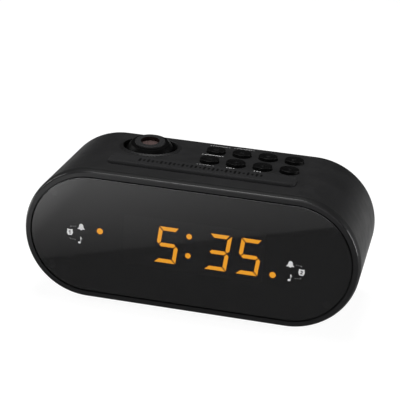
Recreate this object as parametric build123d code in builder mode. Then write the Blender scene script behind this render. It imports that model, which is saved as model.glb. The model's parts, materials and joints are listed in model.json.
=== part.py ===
"""Projection alarm clock: a stadium-shaped clock radio with a ball projector in its top.

X runs to the right, Y to the back and Z up. The origin is the bottom centre. Millimetres.
"""
from build123d import *
from math import cos, radians, sin, sqrt, tan
import os

# ---------------------------------------------------------------- case
WIDTH = 200.0
HEIGHT = 80.0               # case without its feet
DEPTH = 81.0                # front face to rear face
WALL = 2.2
FOOT_HEIGHT = 1.5
FOOT_RADIUS = 5.0
FOOT_RECESS = 0.5
FOOT_CHAMFER = 0.4
FOOT_INSET = 12.0           # from a round end's centre to the feet, along X
FOOT_MARGIN = 14.5          # from the front and rear faces to the feet's centres
MID_Z = FOOT_HEIGHT + HEIGHT / 2
TOP_Z = FOOT_HEIGHT + HEIGHT
ROOF_Z = TOP_Z - WALL       # underside of the top wall
FLOOR_Z = FOOT_HEIGHT + WALL
FRONT_Y = -DEPTH / 2
REAR_Y = DEPTH / 2
END_CENTRE = (WIDTH - HEIGHT) / 2   # X of a round end's centre

# ---------------------------------------------------------------- clearances
SEAM = 0.1                  # a spigot in the sleeve, and plates in their recesses
RUNNING = 0.05              # radial, a pin in its hole
MOVING = 0.25               # around pieces that slide or turn
STOP_GAP = 0.15             # between a sprung flange and its stop

# ---------------------------------------------------------------- bezel, lens and cover
BEZEL_BAND = 3.95           # the rim seen around the lens
CROWN_DEPTH = 2.9           # the rim's front rounding, along Y
CROWN_DROP = 1.1            # and towards the middle
CROWN_EDGE = 1.0            # radius of the rim's front edge
CROWN_BLEND = 5.0           # radius where the rounding meets the side
CROWN_BACK = FRONT_Y + CROWN_DEPTH
LENS_GAP = 0.85
LENS_THICKNESS = 2.0
LENS_EDGE = 0.15            # chamfer around its front face
BEZEL_FLOOR = 3.0
FRONT_SPIGOT = 3.0
SPIGOT_WALL = 1.4
COVER_THICKNESS = 2.2
REAR_SPIGOT = 2.0
SLEEVE_FRONT = FRONT_Y + LENS_THICKNESS + BEZEL_FLOOR
SLEEVE_REAR = REAR_Y - COVER_THICKNESS
SLEEVE_LENGTH = SLEEVE_REAR - SLEEVE_FRONT
EDGE_BREAK = 0.25

# ---------------------------------------------------------------- screws
SCREW_RADIUS = 1.3
SCREW_LENGTH = 9.0
HEAD_RADIUS = 2.3
HEAD_HEIGHT = 1.6
HEAD_SINK = 1.8             # depth of a head's counterbore
BOSS_RADIUS = 3.5
BOSS_RIB = 3.0
HEAD_EDGE = 0.5             # from a front screw's counterbore to the edge of the lens
SMALL_SCREW = 1.0
SMALL_HEAD = 1.8
SMALL_HEAD_HEIGHT = 1.2
SMALL_LENGTH = 4.5
SMALL_BOSS = 2.3

# ---------------------------------------------------------------- display
DIGIT_HEIGHT = 22.5
DIGIT_WIDTH = 13.1
STROKE = 2.43
SEGMENT_GAP = 0.35          # from a segment's mitred end to the line where two of them meet
TIP_CUT = 1.2               # how far the top segment's right tip stops short of its corner
HEEL_CUT = 0.3              # and the inner corner below that tip
SLANT = 6.0                 # degrees
DIGIT_PITCH = 18.6
DIGIT_Z = -0.25             # heights on the display are from the middle of the case
DISPLAY_X = 2.1
PAIR_OFFSET = 24.4          # centre of each pair of digits from DISPLAY_X
COLON_X = -0.38
COLON_Z = 1.0
COLON_HALF = 6.0
COLON_RADIUS = 1.72
DISPLAY_SIDE = 0.7          # from the outer digits to the ends of the module
DISPLAY_EDGE = 4.25         # from the digits to its top and bottom
DISPLAY_DEPTH = 9.0
DISPLAY_INSET = 0.3         # air between the lens and the module
SEGMENT_DEPTH = 1.0
LEFT_LED_GAP = 13.95        # from the module's ends to the two indicators
RIGHT_LED_GAP = 5.85
LEFT_LED_Z = 2.4
RIGHT_LED_Z = -9.2
INDICATOR_RADIUS = 1.9
BOARD = 1.6                 # thickness of every circuit board
BOARD_MARGIN = 9.0          # from an indicator to the display board's end
BOARD_HEIGHT = 44.0
BOARD_SCREW_INSET = 4.0
DISPLAY_FACE = FRONT_Y + LENS_THICKNESS + DISPLAY_INSET
LEAN = tan(radians(SLANT))
DISPLAY_WIDTH = 2 * (PAIR_OFFSET + (DIGIT_PITCH + DIGIT_WIDTH + DIGIT_HEIGHT * LEAN) / 2 + DISPLAY_SIDE)
DISPLAY_HEIGHT = DIGIT_HEIGHT + 2 * DISPLAY_EDGE
LEFT_LED = (DISPLAY_X - DISPLAY_WIDTH / 2 - LEFT_LED_GAP, LEFT_LED_Z)
RIGHT_LED = (DISPLAY_X + DISPLAY_WIDTH / 2 + RIGHT_LED_GAP, RIGHT_LED_Z)
BOARD_WIDTH = RIGHT_LED[0] - LEFT_LED[0] + 2 * BOARD_MARGIN

# ---------------------------------------------------------------- controls on top
BUTTON_RADIUS = 5.75
BUTTON_PROUD = 2.0
BUTTON_EDGE = 0.35          # radius of a cap's rim
BUTTON_LAND = 0.15          # flat ring between that radius and the dish
BUTTON_DISH = 0.5
BUTTON_FLANGE = 1.0         # the flange's extra radius, and its thickness
BUTTON_PITCH = 16.15
FIRST_BUTTON_X = 0.3
FRONT_ROW_Y = 3.5
REAR_ROW_INSET = 17.8       # from the rear face
REAR_ROW_Y = REAR_Y - REAR_ROW_INSET
BUTTON_TRAVEL = 0.7
STEM_RADIUS = 2.2
BAR_LENGTH = 112.0
BAR_WIDTH = 14.5
BAR_Y = -16.15
BAR_PROUD = 2.2
BAR_CORNER = 4.0
BAR_ROUNDING = 1.6
BAR_WALL = 1.8
BAR_FLANGE = 1.2
BAR_TRAVEL = 1.0
BAR_SWITCH_X = 38.0
SPRING_X = 20.0
SPRING_RADIUS = 2.2
SPRING_WIRE = 0.25
SPRING_TURNS = 5
BUTTON_BOARD_DROP = 10.0    # top of the case to the top of the button board
SWITCH_SIZE = 6.0
SWITCH_HEIGHT = 3.5
PLUNGER_RADIUS = 1.7
PLUNGER_DEPTH = 0.8         # how far a plunger reaches into its switch at rest
BUTTON_BOARD_Z = TOP_Z - BUTTON_BOARD_DROP
SWITCH_TOP = BUTTON_BOARD_Z + SWITCH_HEIGHT

# ---------------------------------------------------------------- projector
PROJECTOR_X = -39.6
BALL_RADIUS = 16.3
BALL_DROP = 8.2             # ball centre below the top of the case
BALL_SHELL = 1.6
BALL_GAP = 0.35             # around the ball in its turntable
HEAD_TILT = 8.5             # degrees towards the front at rest
EAR_WALL = 1.0
EAR_WIDTH = 6.0
EAR_RISE = 2.4
EAR_GAP = 0.3               # between the turntable's ears and the well
WELL_WALL = 1.2
WELL_BACK = 0.3             # between the well and the rear cover's spigot
POST_BITE = 0.2             # how far the retainer's posts run into the well's wall
LIP_GAP = 0.35              # between the ball and the lip around it
LIP_WIDTH = 2.35
LIP_PROUD = 0.8             # height of its crest, beside the ball
LIP_CREST = 0.5             # width of the crest
LIP_RIM = 0.15              # height of its outer rim, to which it slopes down
LIP_EDGE = 0.35             # radius of its edges
LIP_SEAT = 1.0
PIN_RADIUS = 1.2
TURNTABLE_TOP = -5.2        # heights here are from the ball's centre
TURNTABLE_BOTTOM = -8.0
TURNTABLE_STEP = 0.8        # the turntable's bore is this much smaller than the ball
TURNTABLE_FLANGE = 1.2      # thickness of the flange
FLANGE_GAP = 0.3            # from its rim to the retainer's posts
RETAINER_THICKNESS = 1.6
RETAINER_STEP = 0.7         # the retainer's bore is this much smaller than the turntable's
CROWN_FLAT = 4.75           # how much of the ball is cut off flat, along its own axis
CROWN_LEDGE = 0.4           # from the flat's edge to the plate under it
RING_HEIGHT = 1.3
RING_RADIUS = 9.2
RING_EDGE = 0.4             # radius of its rim
BARREL_RADIUS = 7.2
BARREL_WALL = 1.3
BARREL_LENGTH = 6.8
LENS_SEAT = 0.2             # how far the aperture's edge overhangs the lens
LENS_SINK = 1.2             # from the flat of the ball down to the lens's seat
PROJECTION_LENS_RIM = 1.2
LENS_BULGE = 0.9
NECK_WALL = 1.7
SLEEVE_RADIUS = 8.0
SLEEVE_WALL = 1.1
LED_BOARD_INSET = 5.8       # from the bottom of the ball
LED_BOARD_THICKNESS = 1.2
LED_RADIUS = 2.5
LED_LENGTH = 4.0
CONDENSER_Z = -2.5
CONDENSER_RIM = 1.0
LCD_GAP = 0.8               # between the display and the focus ring's barrel
LCD_SIZE = 12.0
LCD_THICKNESS = 1.2
WIRE_HOLE = 2.5
BALL_Z = TOP_Z - BALL_DROP
BALL_SPACE = BALL_RADIUS + BALL_GAP
EAR_OUTER = BALL_SPACE + EAR_WALL
WELL_RADIUS = EAR_OUTER + EAR_GAP
WELL_OUTER = WELL_RADIUS + WELL_WALL
LIP_INNER = BALL_RADIUS + LIP_GAP
LIP_OUTER = LIP_INNER + LIP_WIDTH
PROJECTOR_Y = SLEEVE_REAR - REAR_SPIGOT - WELL_BACK - WELL_OUTER
TURNTABLE_BORE = BALL_RADIUS - TURNTABLE_STEP
RETAINER_BORE = TURNTABLE_BORE - RETAINER_STEP
CROWN_CUT = BALL_RADIUS - CROWN_FLAT
RING_TOP = CROWN_CUT + RING_HEIGHT
BARREL_INNER = BARREL_RADIUS - BARREL_WALL
APERTURE = BARREL_INNER - LENS_SEAT
BARREL_BOTTOM = CROWN_CUT - BARREL_LENGTH
PROJECTION_LENS_TOP = CROWN_CUT - LENS_SINK
LCD_BOTTOM = BARREL_BOTTOM - LCD_GAP - LCD_THICKNESS
LED_BOARD_TOP = LED_BOARD_INSET - BALL_RADIUS

# ---------------------------------------------------------------- battery bay, sockets, speaker
CELL_RADIUS = 5.25
CELL_LENGTH = 44.5
CELL_PITCH = 11.4
CELL_NIPPLE = 1.9           # radius of a cell's button end
NIPPLE_LENGTH = 1.0
CELL_SPACE = 3.4            # room for a contact at each end of a cell
BAY_INSET = 16.0            # from the left end's centre to the middle of the bay
BAY_Z = 35.0
BAY_WALL = 1.8
BAY_ROOM = 0.25             # around the cells
DOOR_MARGIN = 0.9           # how far the door's opening runs past the bay
DOOR_GAP = 0.3
HINGE_RADIUS = 1.4
HINGE_PIN = 0.8
HINGE_PIN_LENGTH = 2.0
HINGE_BLOCK = 1.5           # depth, and reach past the hinge's bore
HINGE_BLOCK_END = 4.0       # from the door's opening to the block's end
CONTACT_PLATE = 0.4
CONTACT_SIZE = 8.0
CONTACT_SPRING = 2.6
CONTACT_WIRE = 0.3
CONTACT_TURNS = 3
NOTCH_RADIUS = 6.0
GRIP_LENGTH = 16.0
GRIP_WIDTH = 0.8
GRIP_PITCH = 1.8
JACK_X = 6.0
JACK_WIDTH = 9.0
JACK_HEIGHT = 11.0
JACK_DEPTH = 12.0
JACK_NOSE = 4.0
JACK_BORE = 2.85
JACK_BORE_DEPTH = 9.5
GROMMET_X = -6.0
GROMMET_RADIUS = 3.2
AERIAL_RADIUS = 0.9
GROMMET_LIP = 0.9
SPEAKER_INSET = 10.0        # from the right end's centre
SPEAKER_RADIUS = 25.0
SPEAKER_FLANGE = 1.0
SPEAKER_DEPTH = 16.0
SPEAKER_HOLE = 2.2          # screw positions, in from the edges
MAGNET_RADIUS = 14.0
MAGNET_DEPTH = 7.0
BASKET_WALL = 0.8
CONE_INSET = 2.5            # from the frame's edge to the cone's rim
CONE_SURROUND = 2.0
CONE_WALL = 0.4
RIB_INSET = 1.0             # from the frame's edge to the rib around the grille
RIB_WALL = 1.2
GRILLE_HOLE = 1.2
GRILLE_PITCH = 4.2
GRILLE_RINGS = 4
SPEAKER_STANDOFF = 2.0
BAY_X = BAY_INSET - END_CENTRE
SPEAKER_X = END_CENTRE - SPEAKER_INSET

# ---------------------------------------------------------------- main board
MAIN_BOARD_Z = 8.7          # underside
MAIN_BOARD_WIDTH = 112.0
MAIN_BOARD_FRONT = FRONT_Y + 13.5
MAIN_BOARD_REAR = REAR_Y - 7.5
CHIP_LENGTH = 18.0
CHIP_WIDTH = 8.0
CHIP_HEIGHT = 2.2
CHIP_PLACES = [(-28.0, -12.0), (26.0, 8.0)]
CAN_LENGTH = 22.0
CAN_WIDTH = 18.0
CAN_HEIGHT = 6.0
CAN_WALL = 0.5
CAN_PLACE = (-34.0, 12.0)
CAPACITOR_PLACES = [(26.0, -12.0), (36.0, -12.0), (46.0, -12.0)]
CAPACITOR_RADIUS = 4.0
CAPACITOR_HEIGHT = 12.0
CONNECTOR_LENGTH = 20.0
CONNECTOR_SIZE = 5.0
FRONT_PLUG_X = -4.0
TOP_PLUG_X = 6.0
TOP_PLUG_Y = -4.0
RIBBON_WIDTH = 17.0
RIBBON_THICKNESS = 0.5
RIBBON_BEND = 3.5
RIBBON_RUN = 2.1            # straight run from the bend to the display board's plug
RIBBON_RISE = 5.25          # and from the main board's plug up to the bend
BOARD_TOP = MAIN_BOARD_Z + BOARD


def facing(y):
    """A plane across the case at y: its X is X, its Y is the height above the case's middle."""
    return Plane(origin=(0, y, MID_Z), x_dir=(1, 0, 0), z_dir=(0, -1, 0))


def save(builder, name):
    """Label a finished piece and write it as parts/name.step."""
    builder.part.label = name
    export_step(builder.part, f"parts/{name}.step")


def ring(outer, inner):
    """A flat ring in the current sketch."""
    Circle(outer)
    Circle(inner, mode=Mode.SUBTRACT)


def turned(points, plane, axis):
    """Revolve a closed outline of (radius, height) points on a plane around an axis in it."""
    with BuildSketch(plane) as outline:
        with BuildLine():
            Polyline(*points, close=True)
        make_face()
    revolve(outline.sketch, axis=axis)


def screw(plane, radius, length, head_radius, head_height):
    """A pan-head screw in the current part: head above the plane, shank below it."""
    with BuildSketch(plane) as shank:
        Circle(radius)
    extrude(shank.sketch, amount=-length)
    with BuildSketch(plane) as head:
        Circle(head_radius)
    extrude(head.sketch, amount=head_height)
    with BuildSketch(plane.offset(head_height)) as cross:
        Rectangle(1.3 * head_radius, 0.3 * head_radius)
        Rectangle(0.3 * head_radius, 1.3 * head_radius)
    extrude(cross.sketch, amount=-0.5 * head_height, mode=Mode.SUBTRACT)


os.makedirs("parts", exist_ok=True)

# Corner bosses stand at 45 degrees in each quarter, just inside the lens's outline, so that the
# lens hides the front screws. A rib joins each boss to the wall.
LENS_END = HEIGHT / 2 - BEZEL_BAND - LENS_GAP
CORNER_REACH = LENS_END - HEAD_EDGE - HEAD_RADIUS - MOVING
CORNER_X = END_CENTRE + CORNER_REACH * cos(radians(45))
CORNER_Z = CORNER_REACH * sin(radians(45))
corners = [(sx * CORNER_X, sz * CORNER_Z) for sx in (-1, 1) for sz in (-1, 1)]
corner_ribs = [Location((sx * CORNER_X, sz * CORNER_Z), 90 - sx * 90 + sx * sz * 45)
               for sx in (-1, 1) for sz in (-1, 1)]
RIB_REACH = HEIGHT / 2 - WALL / 2 - CORNER_REACH

button_columns = [FIRST_BUTTON_X + BUTTON_PITCH * i for i in range(4)]
button_places = {}
for i, x in enumerate(button_columns):
    button_places[f"front_{i + 1}"] = (x, FRONT_ROW_Y)
    button_places[f"rear_{i + 1}"] = (x, REAR_ROW_Y)

# The button board hangs from four posts: two between the buttons, two in front of the snooze bar.
POST_MID_Y = (FRONT_ROW_Y + REAR_ROW_Y) / 2
POST_FRONT_Y = BAR_Y - BAR_WIDTH / 2 - MOVING - BAR_FLANGE - SMALL_BOSS - 2 * MOVING
POST_SIDE_X = BAR_LENGTH / 2 - 2 * SMALL_BOSS
button_posts = [(FIRST_BUTTON_X + BUTTON_PITCH / 2, POST_MID_Y),
                (FIRST_BUTTON_X + 2.5 * BUTTON_PITCH, POST_MID_Y),
                (-POST_SIDE_X, POST_FRONT_Y), (POST_SIDE_X, POST_FRONT_Y)]

# The main board stands on four posts near its corners.
MAIN_POST_X = MAIN_BOARD_WIDTH / 2 - BOARD_SCREW_INSET
main_posts = [(sx * MAIN_POST_X, y) for sx in (-1, 1)
              for y in (MAIN_BOARD_FRONT + BOARD_SCREW_INSET, MAIN_BOARD_REAR - BOARD_SCREW_INSET)]

# The projector's retainer is screwed to four posts beside the well.
WELL_POST_REACH = WELL_OUTER + SMALL_BOSS - POST_BITE
WELL_BOTTOM = BALL_Z + TURNTABLE_BOTTOM + TURNTABLE_FLANGE + MOVING
RETAINER_TOP = BALL_Z + TURNTABLE_BOTTOM - MOVING
well_posts = [(PROJECTOR_X + WELL_POST_REACH * cos(radians(a)),
               PROJECTOR_Y + WELL_POST_REACH * sin(radians(a))) for a in (30, 150, 210, 330)]

foot_places = [(sx * (END_CENTRE - FOOT_INSET), sy * (DEPTH / 2 - FOOT_MARGIN))
               for sx in (-1, 1) for sy in (-1, 1)]

# ================================================================ main housing
with BuildPart() as main_housing:
    with BuildSketch(facing(SLEEVE_FRONT)):
        SlotOverall(WIDTH, HEIGHT)
    extrude(amount=-SLEEVE_LENGTH)
    chamfer(edges().group_by(Axis.Y)[0] + edges().group_by(Axis.Y)[-1], EDGE_BREAK)
    with BuildSketch(facing(SLEEVE_FRONT)):
        SlotOverall(WIDTH - 2 * WALL, HEIGHT - 2 * WALL)
    extrude(amount=-SLEEVE_LENGTH, mode=Mode.SUBTRACT)
    # corner bosses between the two spigots
    with BuildSketch(facing(SLEEVE_FRONT + FRONT_SPIGOT)):
        with Locations(*corners):
            Circle(BOSS_RADIUS)
        with Locations(*corner_ribs):
            Rectangle(RIB_REACH, BOSS_RIB, align=(Align.MIN, Align.CENTER))
    extrude(amount=-(SLEEVE_LENGTH - FRONT_SPIGOT - REAR_SPIGOT))
    with BuildSketch(facing(SLEEVE_FRONT + FRONT_SPIGOT)):
        with Locations(*corners):
            Circle(SCREW_RADIUS + RUNNING)
    extrude(amount=-(SLEEVE_LENGTH - FRONT_SPIGOT - REAR_SPIGOT), mode=Mode.SUBTRACT)
    # the projector's well and its four posts
    with BuildSketch(Plane.XY.offset(ROOF_Z)):
        with Locations((PROJECTOR_X, PROJECTOR_Y)):
            Circle(WELL_OUTER)
    extrude(amount=-(ROOF_Z - WELL_BOTTOM))
    with BuildSketch(Plane.XY.offset(ROOF_Z)):
        with Locations(*well_posts):
            Circle(SMALL_BOSS)
    extrude(amount=-(ROOF_Z - RETAINER_TOP))
    with BuildSketch(Plane.XY.offset(TOP_Z)):
        with Locations((PROJECTOR_X, PROJECTOR_Y)):
            Circle(WELL_RADIUS)
    extrude(amount=-(TOP_Z - RETAINER_TOP), mode=Mode.SUBTRACT)
    with BuildSketch(Plane.XY.offset(WELL_BOTTOM)):
        with Locations((PROJECTOR_X, PROJECTOR_Y)):
            Circle(WELL_OUTER)
    extrude(amount=-(WELL_BOTTOM - RETAINER_TOP), mode=Mode.SUBTRACT)
    with BuildSketch(Plane.XY.offset(TOP_Z)):
        with Locations((PROJECTOR_X, PROJECTOR_Y)):
            Circle(LIP_OUTER + RUNNING)
    extrude(amount=-LIP_SEAT, mode=Mode.SUBTRACT)
    with BuildSketch(Plane.XY.offset(RETAINER_TOP)):
        with Locations(*well_posts):
            Circle(SMALL_SCREW + RUNNING)
    extrude(amount=SMALL_LENGTH, mode=Mode.SUBTRACT)
    # holes for the buttons and the slot for the snooze bar
    with BuildSketch(Plane.XY.offset(TOP_Z)):
        with Locations(*button_places.values()):
            Circle(BUTTON_RADIUS + MOVING)
        with Locations((0, BAR_Y)):
            RectangleRounded(BAR_LENGTH + 2 * MOVING, BAR_WIDTH + 2 * MOVING, BAR_CORNER + MOVING)
    extrude(amount=-WALL, mode=Mode.SUBTRACT)
    # posts for the button board
    with BuildSketch(Plane.XY.offset(ROOF_Z)):
        with Locations(*button_posts):
            ring(SMALL_BOSS, SMALL_SCREW + RUNNING)
    extrude(amount=-(ROOF_Z - BUTTON_BOARD_Z))
    # posts for the main board
    with BuildSketch(Plane.XY.offset(FLOOR_Z)):
        with Locations(*main_posts):
            ring(SMALL_BOSS, SMALL_SCREW + RUNNING)
    extrude(amount=MAIN_BOARD_Z - FLOOR_Z)
    # recesses for the feet
    with BuildSketch(Plane.XY.offset(FOOT_HEIGHT)):
        with Locations(*foot_places):
            Circle(FOOT_RADIUS + SEAM)
    extrude(amount=FOOT_RECESS, mode=Mode.SUBTRACT)
save(main_housing, "main_housing")

with BuildPart() as rubber_feet:
    with BuildSketch(Plane.XY):
        with Locations(*foot_places):
            Circle(FOOT_RADIUS)
    extrude(amount=FOOT_HEIGHT + FOOT_RECESS)
    chamfer(edges().group_by(Axis.Z)[0], FOOT_CHAMFER)
save(rubber_feet, "rubber_feet")

# ================================================================ front bezel and lens
LENS_WIDTH = WIDTH - 2 * (BEZEL_BAND + LENS_GAP)
LENS_HEIGHT = HEIGHT - 2 * (BEZEL_BAND + LENS_GAP)
FLOOR_FRONT = FRONT_Y + LENS_THICKNESS
SPIGOT_WIDTH = WIDTH - 2 * (WALL + SEAM)
SPIGOT_HEIGHT = HEIGHT - 2 * (WALL + SEAM)
BOARD_X = (LEFT_LED[0] + RIGHT_LED[0]) / 2
DISPLAY_BOARD_Y = DISPLAY_FACE + DISPLAY_DEPTH
board_posts = [(BOARD_X + sx * (BOARD_WIDTH / 2 - BOARD_SCREW_INSET),
                sz * (BOARD_HEIGHT / 2 - BOARD_SCREW_INSET)) for sx in (-1, 1) for sz in (-1, 1)]

with BuildPart() as front_bezel:
    with BuildSketch(facing(FRONT_Y)):
        SlotOverall(WIDTH, HEIGHT)
    extrude(amount=-(LENS_THICKNESS + BEZEL_FLOOR))
    rim = edges().group_by(Axis.Y)[0]
    chamfer(rim, CROWN_DROP, CROWN_DEPTH, reference=faces().sort_by(Axis.Y)[0])
    fillet(edges().group_by(Axis.Y)[0], CROWN_EDGE)
    fillet(edges().filter_by_position(Axis.Y, CROWN_BACK - SEAM, CROWN_BACK + SEAM), CROWN_BLEND)
    chamfer(edges().group_by(Axis.Y)[-1], EDGE_BREAK)
    with BuildSketch(facing(FRONT_Y)):
        SlotOverall(WIDTH - 2 * BEZEL_BAND, HEIGHT - 2 * BEZEL_BAND)
    extrude(amount=-LENS_THICKNESS, mode=Mode.SUBTRACT)
    # spigot and corner posts behind the floor
    with BuildSketch(facing(SLEEVE_FRONT)):
        SlotOverall(SPIGOT_WIDTH, SPIGOT_HEIGHT)
        SlotOverall(SPIGOT_WIDTH - 2 * SPIGOT_WALL, SPIGOT_HEIGHT - 2 * SPIGOT_WALL,
                    mode=Mode.SUBTRACT)
        with Locations(*corners):
            Circle(BOSS_RADIUS)
        SlotOverall(SPIGOT_WIDTH, SPIGOT_HEIGHT, mode=Mode.INTERSECT)
    extrude(amount=-FRONT_SPIGOT)
    # posts for the display board
    with BuildSketch(facing(SLEEVE_FRONT)):
        with Locations(*board_posts):
            Circle(SMALL_BOSS)
    extrude(amount=-(DISPLAY_BOARD_Y - SLEEVE_FRONT))
    with BuildSketch(facing(DISPLAY_BOARD_Y)):
        with Locations(*board_posts):
            Circle(SMALL_SCREW + RUNNING)
    extrude(amount=SMALL_LENGTH, mode=Mode.SUBTRACT)
    # window for the display and holes for the two indicators
    with BuildSketch(facing(FLOOR_FRONT)):
        with Locations((DISPLAY_X, 0)):
            Rectangle(DISPLAY_WIDTH + 2 * MOVING, DISPLAY_HEIGHT + 2 * MOVING)
        with Locations(LEFT_LED, RIGHT_LED):
            Circle(INDICATOR_RADIUS + SEAM)
    extrude(amount=-BEZEL_FLOOR, mode=Mode.SUBTRACT)
    # screw holes, hidden by the lens
    with BuildSketch(facing(FLOOR_FRONT)):
        with Locations(*corners):
            Circle(SCREW_RADIUS + 3 * RUNNING)
    extrude(amount=-(BEZEL_FLOOR + FRONT_SPIGOT), mode=Mode.SUBTRACT)
    with BuildSketch(facing(FLOOR_FRONT)):
        with Locations(*corners):
            Circle(HEAD_RADIUS + MOVING)
    extrude(amount=-HEAD_SINK, mode=Mode.SUBTRACT)
save(front_bezel, "front_bezel")

with BuildPart() as display_lens:
    with BuildSketch(facing(FRONT_Y)):
        SlotOverall(LENS_WIDTH, LENS_HEIGHT)
    extrude(amount=-LENS_THICKNESS)
    chamfer(edges().group_by(Axis.Y)[0], LENS_EDGE)
save(display_lens, "display_lens")


# ================================================================ LED display
def segments(names, x):
    """The named segments of one slanted digit centred at x, in the current sketch.

    Their ends are cut at 45 degrees, so that the digit has square corners. Only the top segment's
    right end stops short of its corner.
    """
    w, h, s, g = DIGIT_WIDTH / 2, DIGIT_HEIGHT / 2, STROKE, SEGMENT_GAP
    top = [(g - w, h), (g + s - w, h - s), (w - s - g - HEEL_CUT, h - s), (w - g - TIP_CUT, h)]
    bottom = [(g - w, h), (g + s - w, h - s), (w - s - g, h - s), (w - g, h)]
    side = [(-w, h - g), (-w, g + s / 2), (s / 2 - w, g), (s - w, g + s / 2), (s - w, h - s - g)]
    middle = [(g + s / 2 - w, 0), (g + s - w, -s / 2), (w - s - g, -s / 2),
              (w - s / 2 - g, 0), (w - s - g, s / 2), (g + s - w, s / 2)]
    mirrored = {"a": (top, 1, 1), "b": (side, -1, 1), "c": (side, -1, -1), "d": (bottom, 1, -1),
                "e": (side, 1, -1), "f": (side, 1, 1), "g": (middle, 1, 1)}
    for name in names:
        outline, across, up = mirrored[name]
        points = [(across * px, up * pz) for px, pz in outline]
        Polygon(*[(x + px + pz * LEAN, DIGIT_Z + pz) for px, pz in points], align=None)


DIGIT_X = [DISPLAY_X - PAIR_OFFSET - DIGIT_PITCH / 2, DISPLAY_X - PAIR_OFFSET + DIGIT_PITCH / 2,
           DISPLAY_X + PAIR_OFFSET - DIGIT_PITCH / 2, DISPLAY_X + PAIR_OFFSET + DIGIT_PITCH / 2]
LIT = ["", "afgcd", "abgcd", "afgcd"]
UNLIT = ["abcdefg", "be", "ef", "be"]
colon = [(COLON_X, COLON_Z - COLON_HALF), (COLON_X, COLON_Z + COLON_HALF)]

with BuildPart() as led_segments_lit:
    with BuildSketch(facing(DISPLAY_FACE)):
        for names, x in zip(LIT, DIGIT_X):
            segments(names, x)
        with Locations(*colon):
            Circle(COLON_RADIUS)
    extrude(amount=-SEGMENT_DEPTH)
save(led_segments_lit, "led_segments_lit")

with BuildPart() as led_segments_unlit:
    with BuildSketch(facing(DISPLAY_FACE)):
        for names, x in zip(UNLIT, DIGIT_X):
            segments(names, x)
    extrude(amount=-SEGMENT_DEPTH)
save(led_segments_unlit, "led_segments_unlit")

with BuildPart() as led_display_housing:
    with BuildSketch(facing(DISPLAY_FACE)):
        with Locations((DISPLAY_X, 0)):
            Rectangle(DISPLAY_WIDTH, DISPLAY_HEIGHT)
    extrude(amount=-DISPLAY_DEPTH)
    with BuildSketch(facing(DISPLAY_FACE)):
        for x in DIGIT_X:
            segments("abcdefg", x)
        with Locations(*colon):
            Circle(COLON_RADIUS)
    extrude(amount=-SEGMENT_DEPTH, mode=Mode.SUBTRACT)
save(led_display_housing, "led_display_housing")

with BuildPart() as indicator_leds:
    with BuildSketch(facing(DISPLAY_FACE)):
        with Locations(LEFT_LED, RIGHT_LED):
            Circle(INDICATOR_RADIUS)
    extrude(amount=-DISPLAY_DEPTH)
save(indicator_leds, "indicator_leds")

with BuildPart() as display_pcb:
    with BuildSketch(facing(DISPLAY_BOARD_Y)):
        with Locations((BOARD_X, 0)):
            Rectangle(BOARD_WIDTH, BOARD_HEIGHT)
        with Locations(*board_posts):
            Circle(SMALL_SCREW + 2 * RUNNING, mode=Mode.SUBTRACT)
    extrude(amount=-BOARD)
save(display_pcb, "display_pcb")

# ================================================================ buttons
CAP_TOP = TOP_Z + BUTTON_PROUD
CAP_FLANGE_TOP = ROOF_Z - STOP_GAP
STEM_BOTTOM = SWITCH_TOP + BUTTON_TRAVEL + STOP_GAP
DISH_RIM = BUTTON_RADIUS - BUTTON_EDGE - BUTTON_LAND
DISH_RADIUS = (DISH_RIM ** 2 + BUTTON_DISH ** 2) / (2 * BUTTON_DISH)
for name, (x, y) in button_places.items():
    with BuildPart() as cap:
        with BuildSketch(Plane.XY.offset(CAP_FLANGE_TOP)):
            with Locations((x, y)):
                Circle(BUTTON_RADIUS)
        extrude(amount=CAP_TOP - CAP_FLANGE_TOP)
        fillet(edges().group_by(Axis.Z)[-1], BUTTON_EDGE)
        with Locations((x, y, CAP_TOP - BUTTON_DISH + DISH_RADIUS)):
            Sphere(DISH_RADIUS, mode=Mode.SUBTRACT)
        with BuildSketch(Plane.XY.offset(CAP_FLANGE_TOP)):
            with Locations((x, y)):
                Circle(BUTTON_RADIUS + BUTTON_FLANGE)
        extrude(amount=-BUTTON_FLANGE)
        with BuildSketch(Plane.XY.offset(CAP_FLANGE_TOP - BUTTON_FLANGE)):
            with Locations((x, y)):
                Circle(STEM_RADIUS)
        extrude(amount=-(CAP_FLANGE_TOP - BUTTON_FLANGE - STEM_BOTTOM))
    save(cap, f"button_{name}")
    with BuildPart() as plunger:
        with BuildSketch(Plane.XY.offset(STEM_BOTTOM)):
            with Locations((x, y)):
                Circle(PLUNGER_RADIUS)
        extrude(amount=-(STEM_BOTTOM - SWITCH_TOP + PLUNGER_DEPTH))
    save(plunger, f"plunger_{name}")

# ================================================================ snooze bar
BAR_TOP = TOP_Z + BAR_PROUD
BAR_ROOF = BAR_TOP - BAR_WALL
BAR_FLANGE_TOP = ROOF_Z - STOP_GAP
BAR_STEM_BOTTOM = SWITCH_TOP + BAR_TRAVEL + STOP_GAP
bar_switches = [(-BAR_SWITCH_X, BAR_Y), (BAR_SWITCH_X, BAR_Y)]
bar_springs = [(-SPRING_X, BAR_Y), (SPRING_X, BAR_Y)]
SPRING_POST = SPRING_RADIUS - SPRING_WIRE - 2 * MOVING

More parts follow.
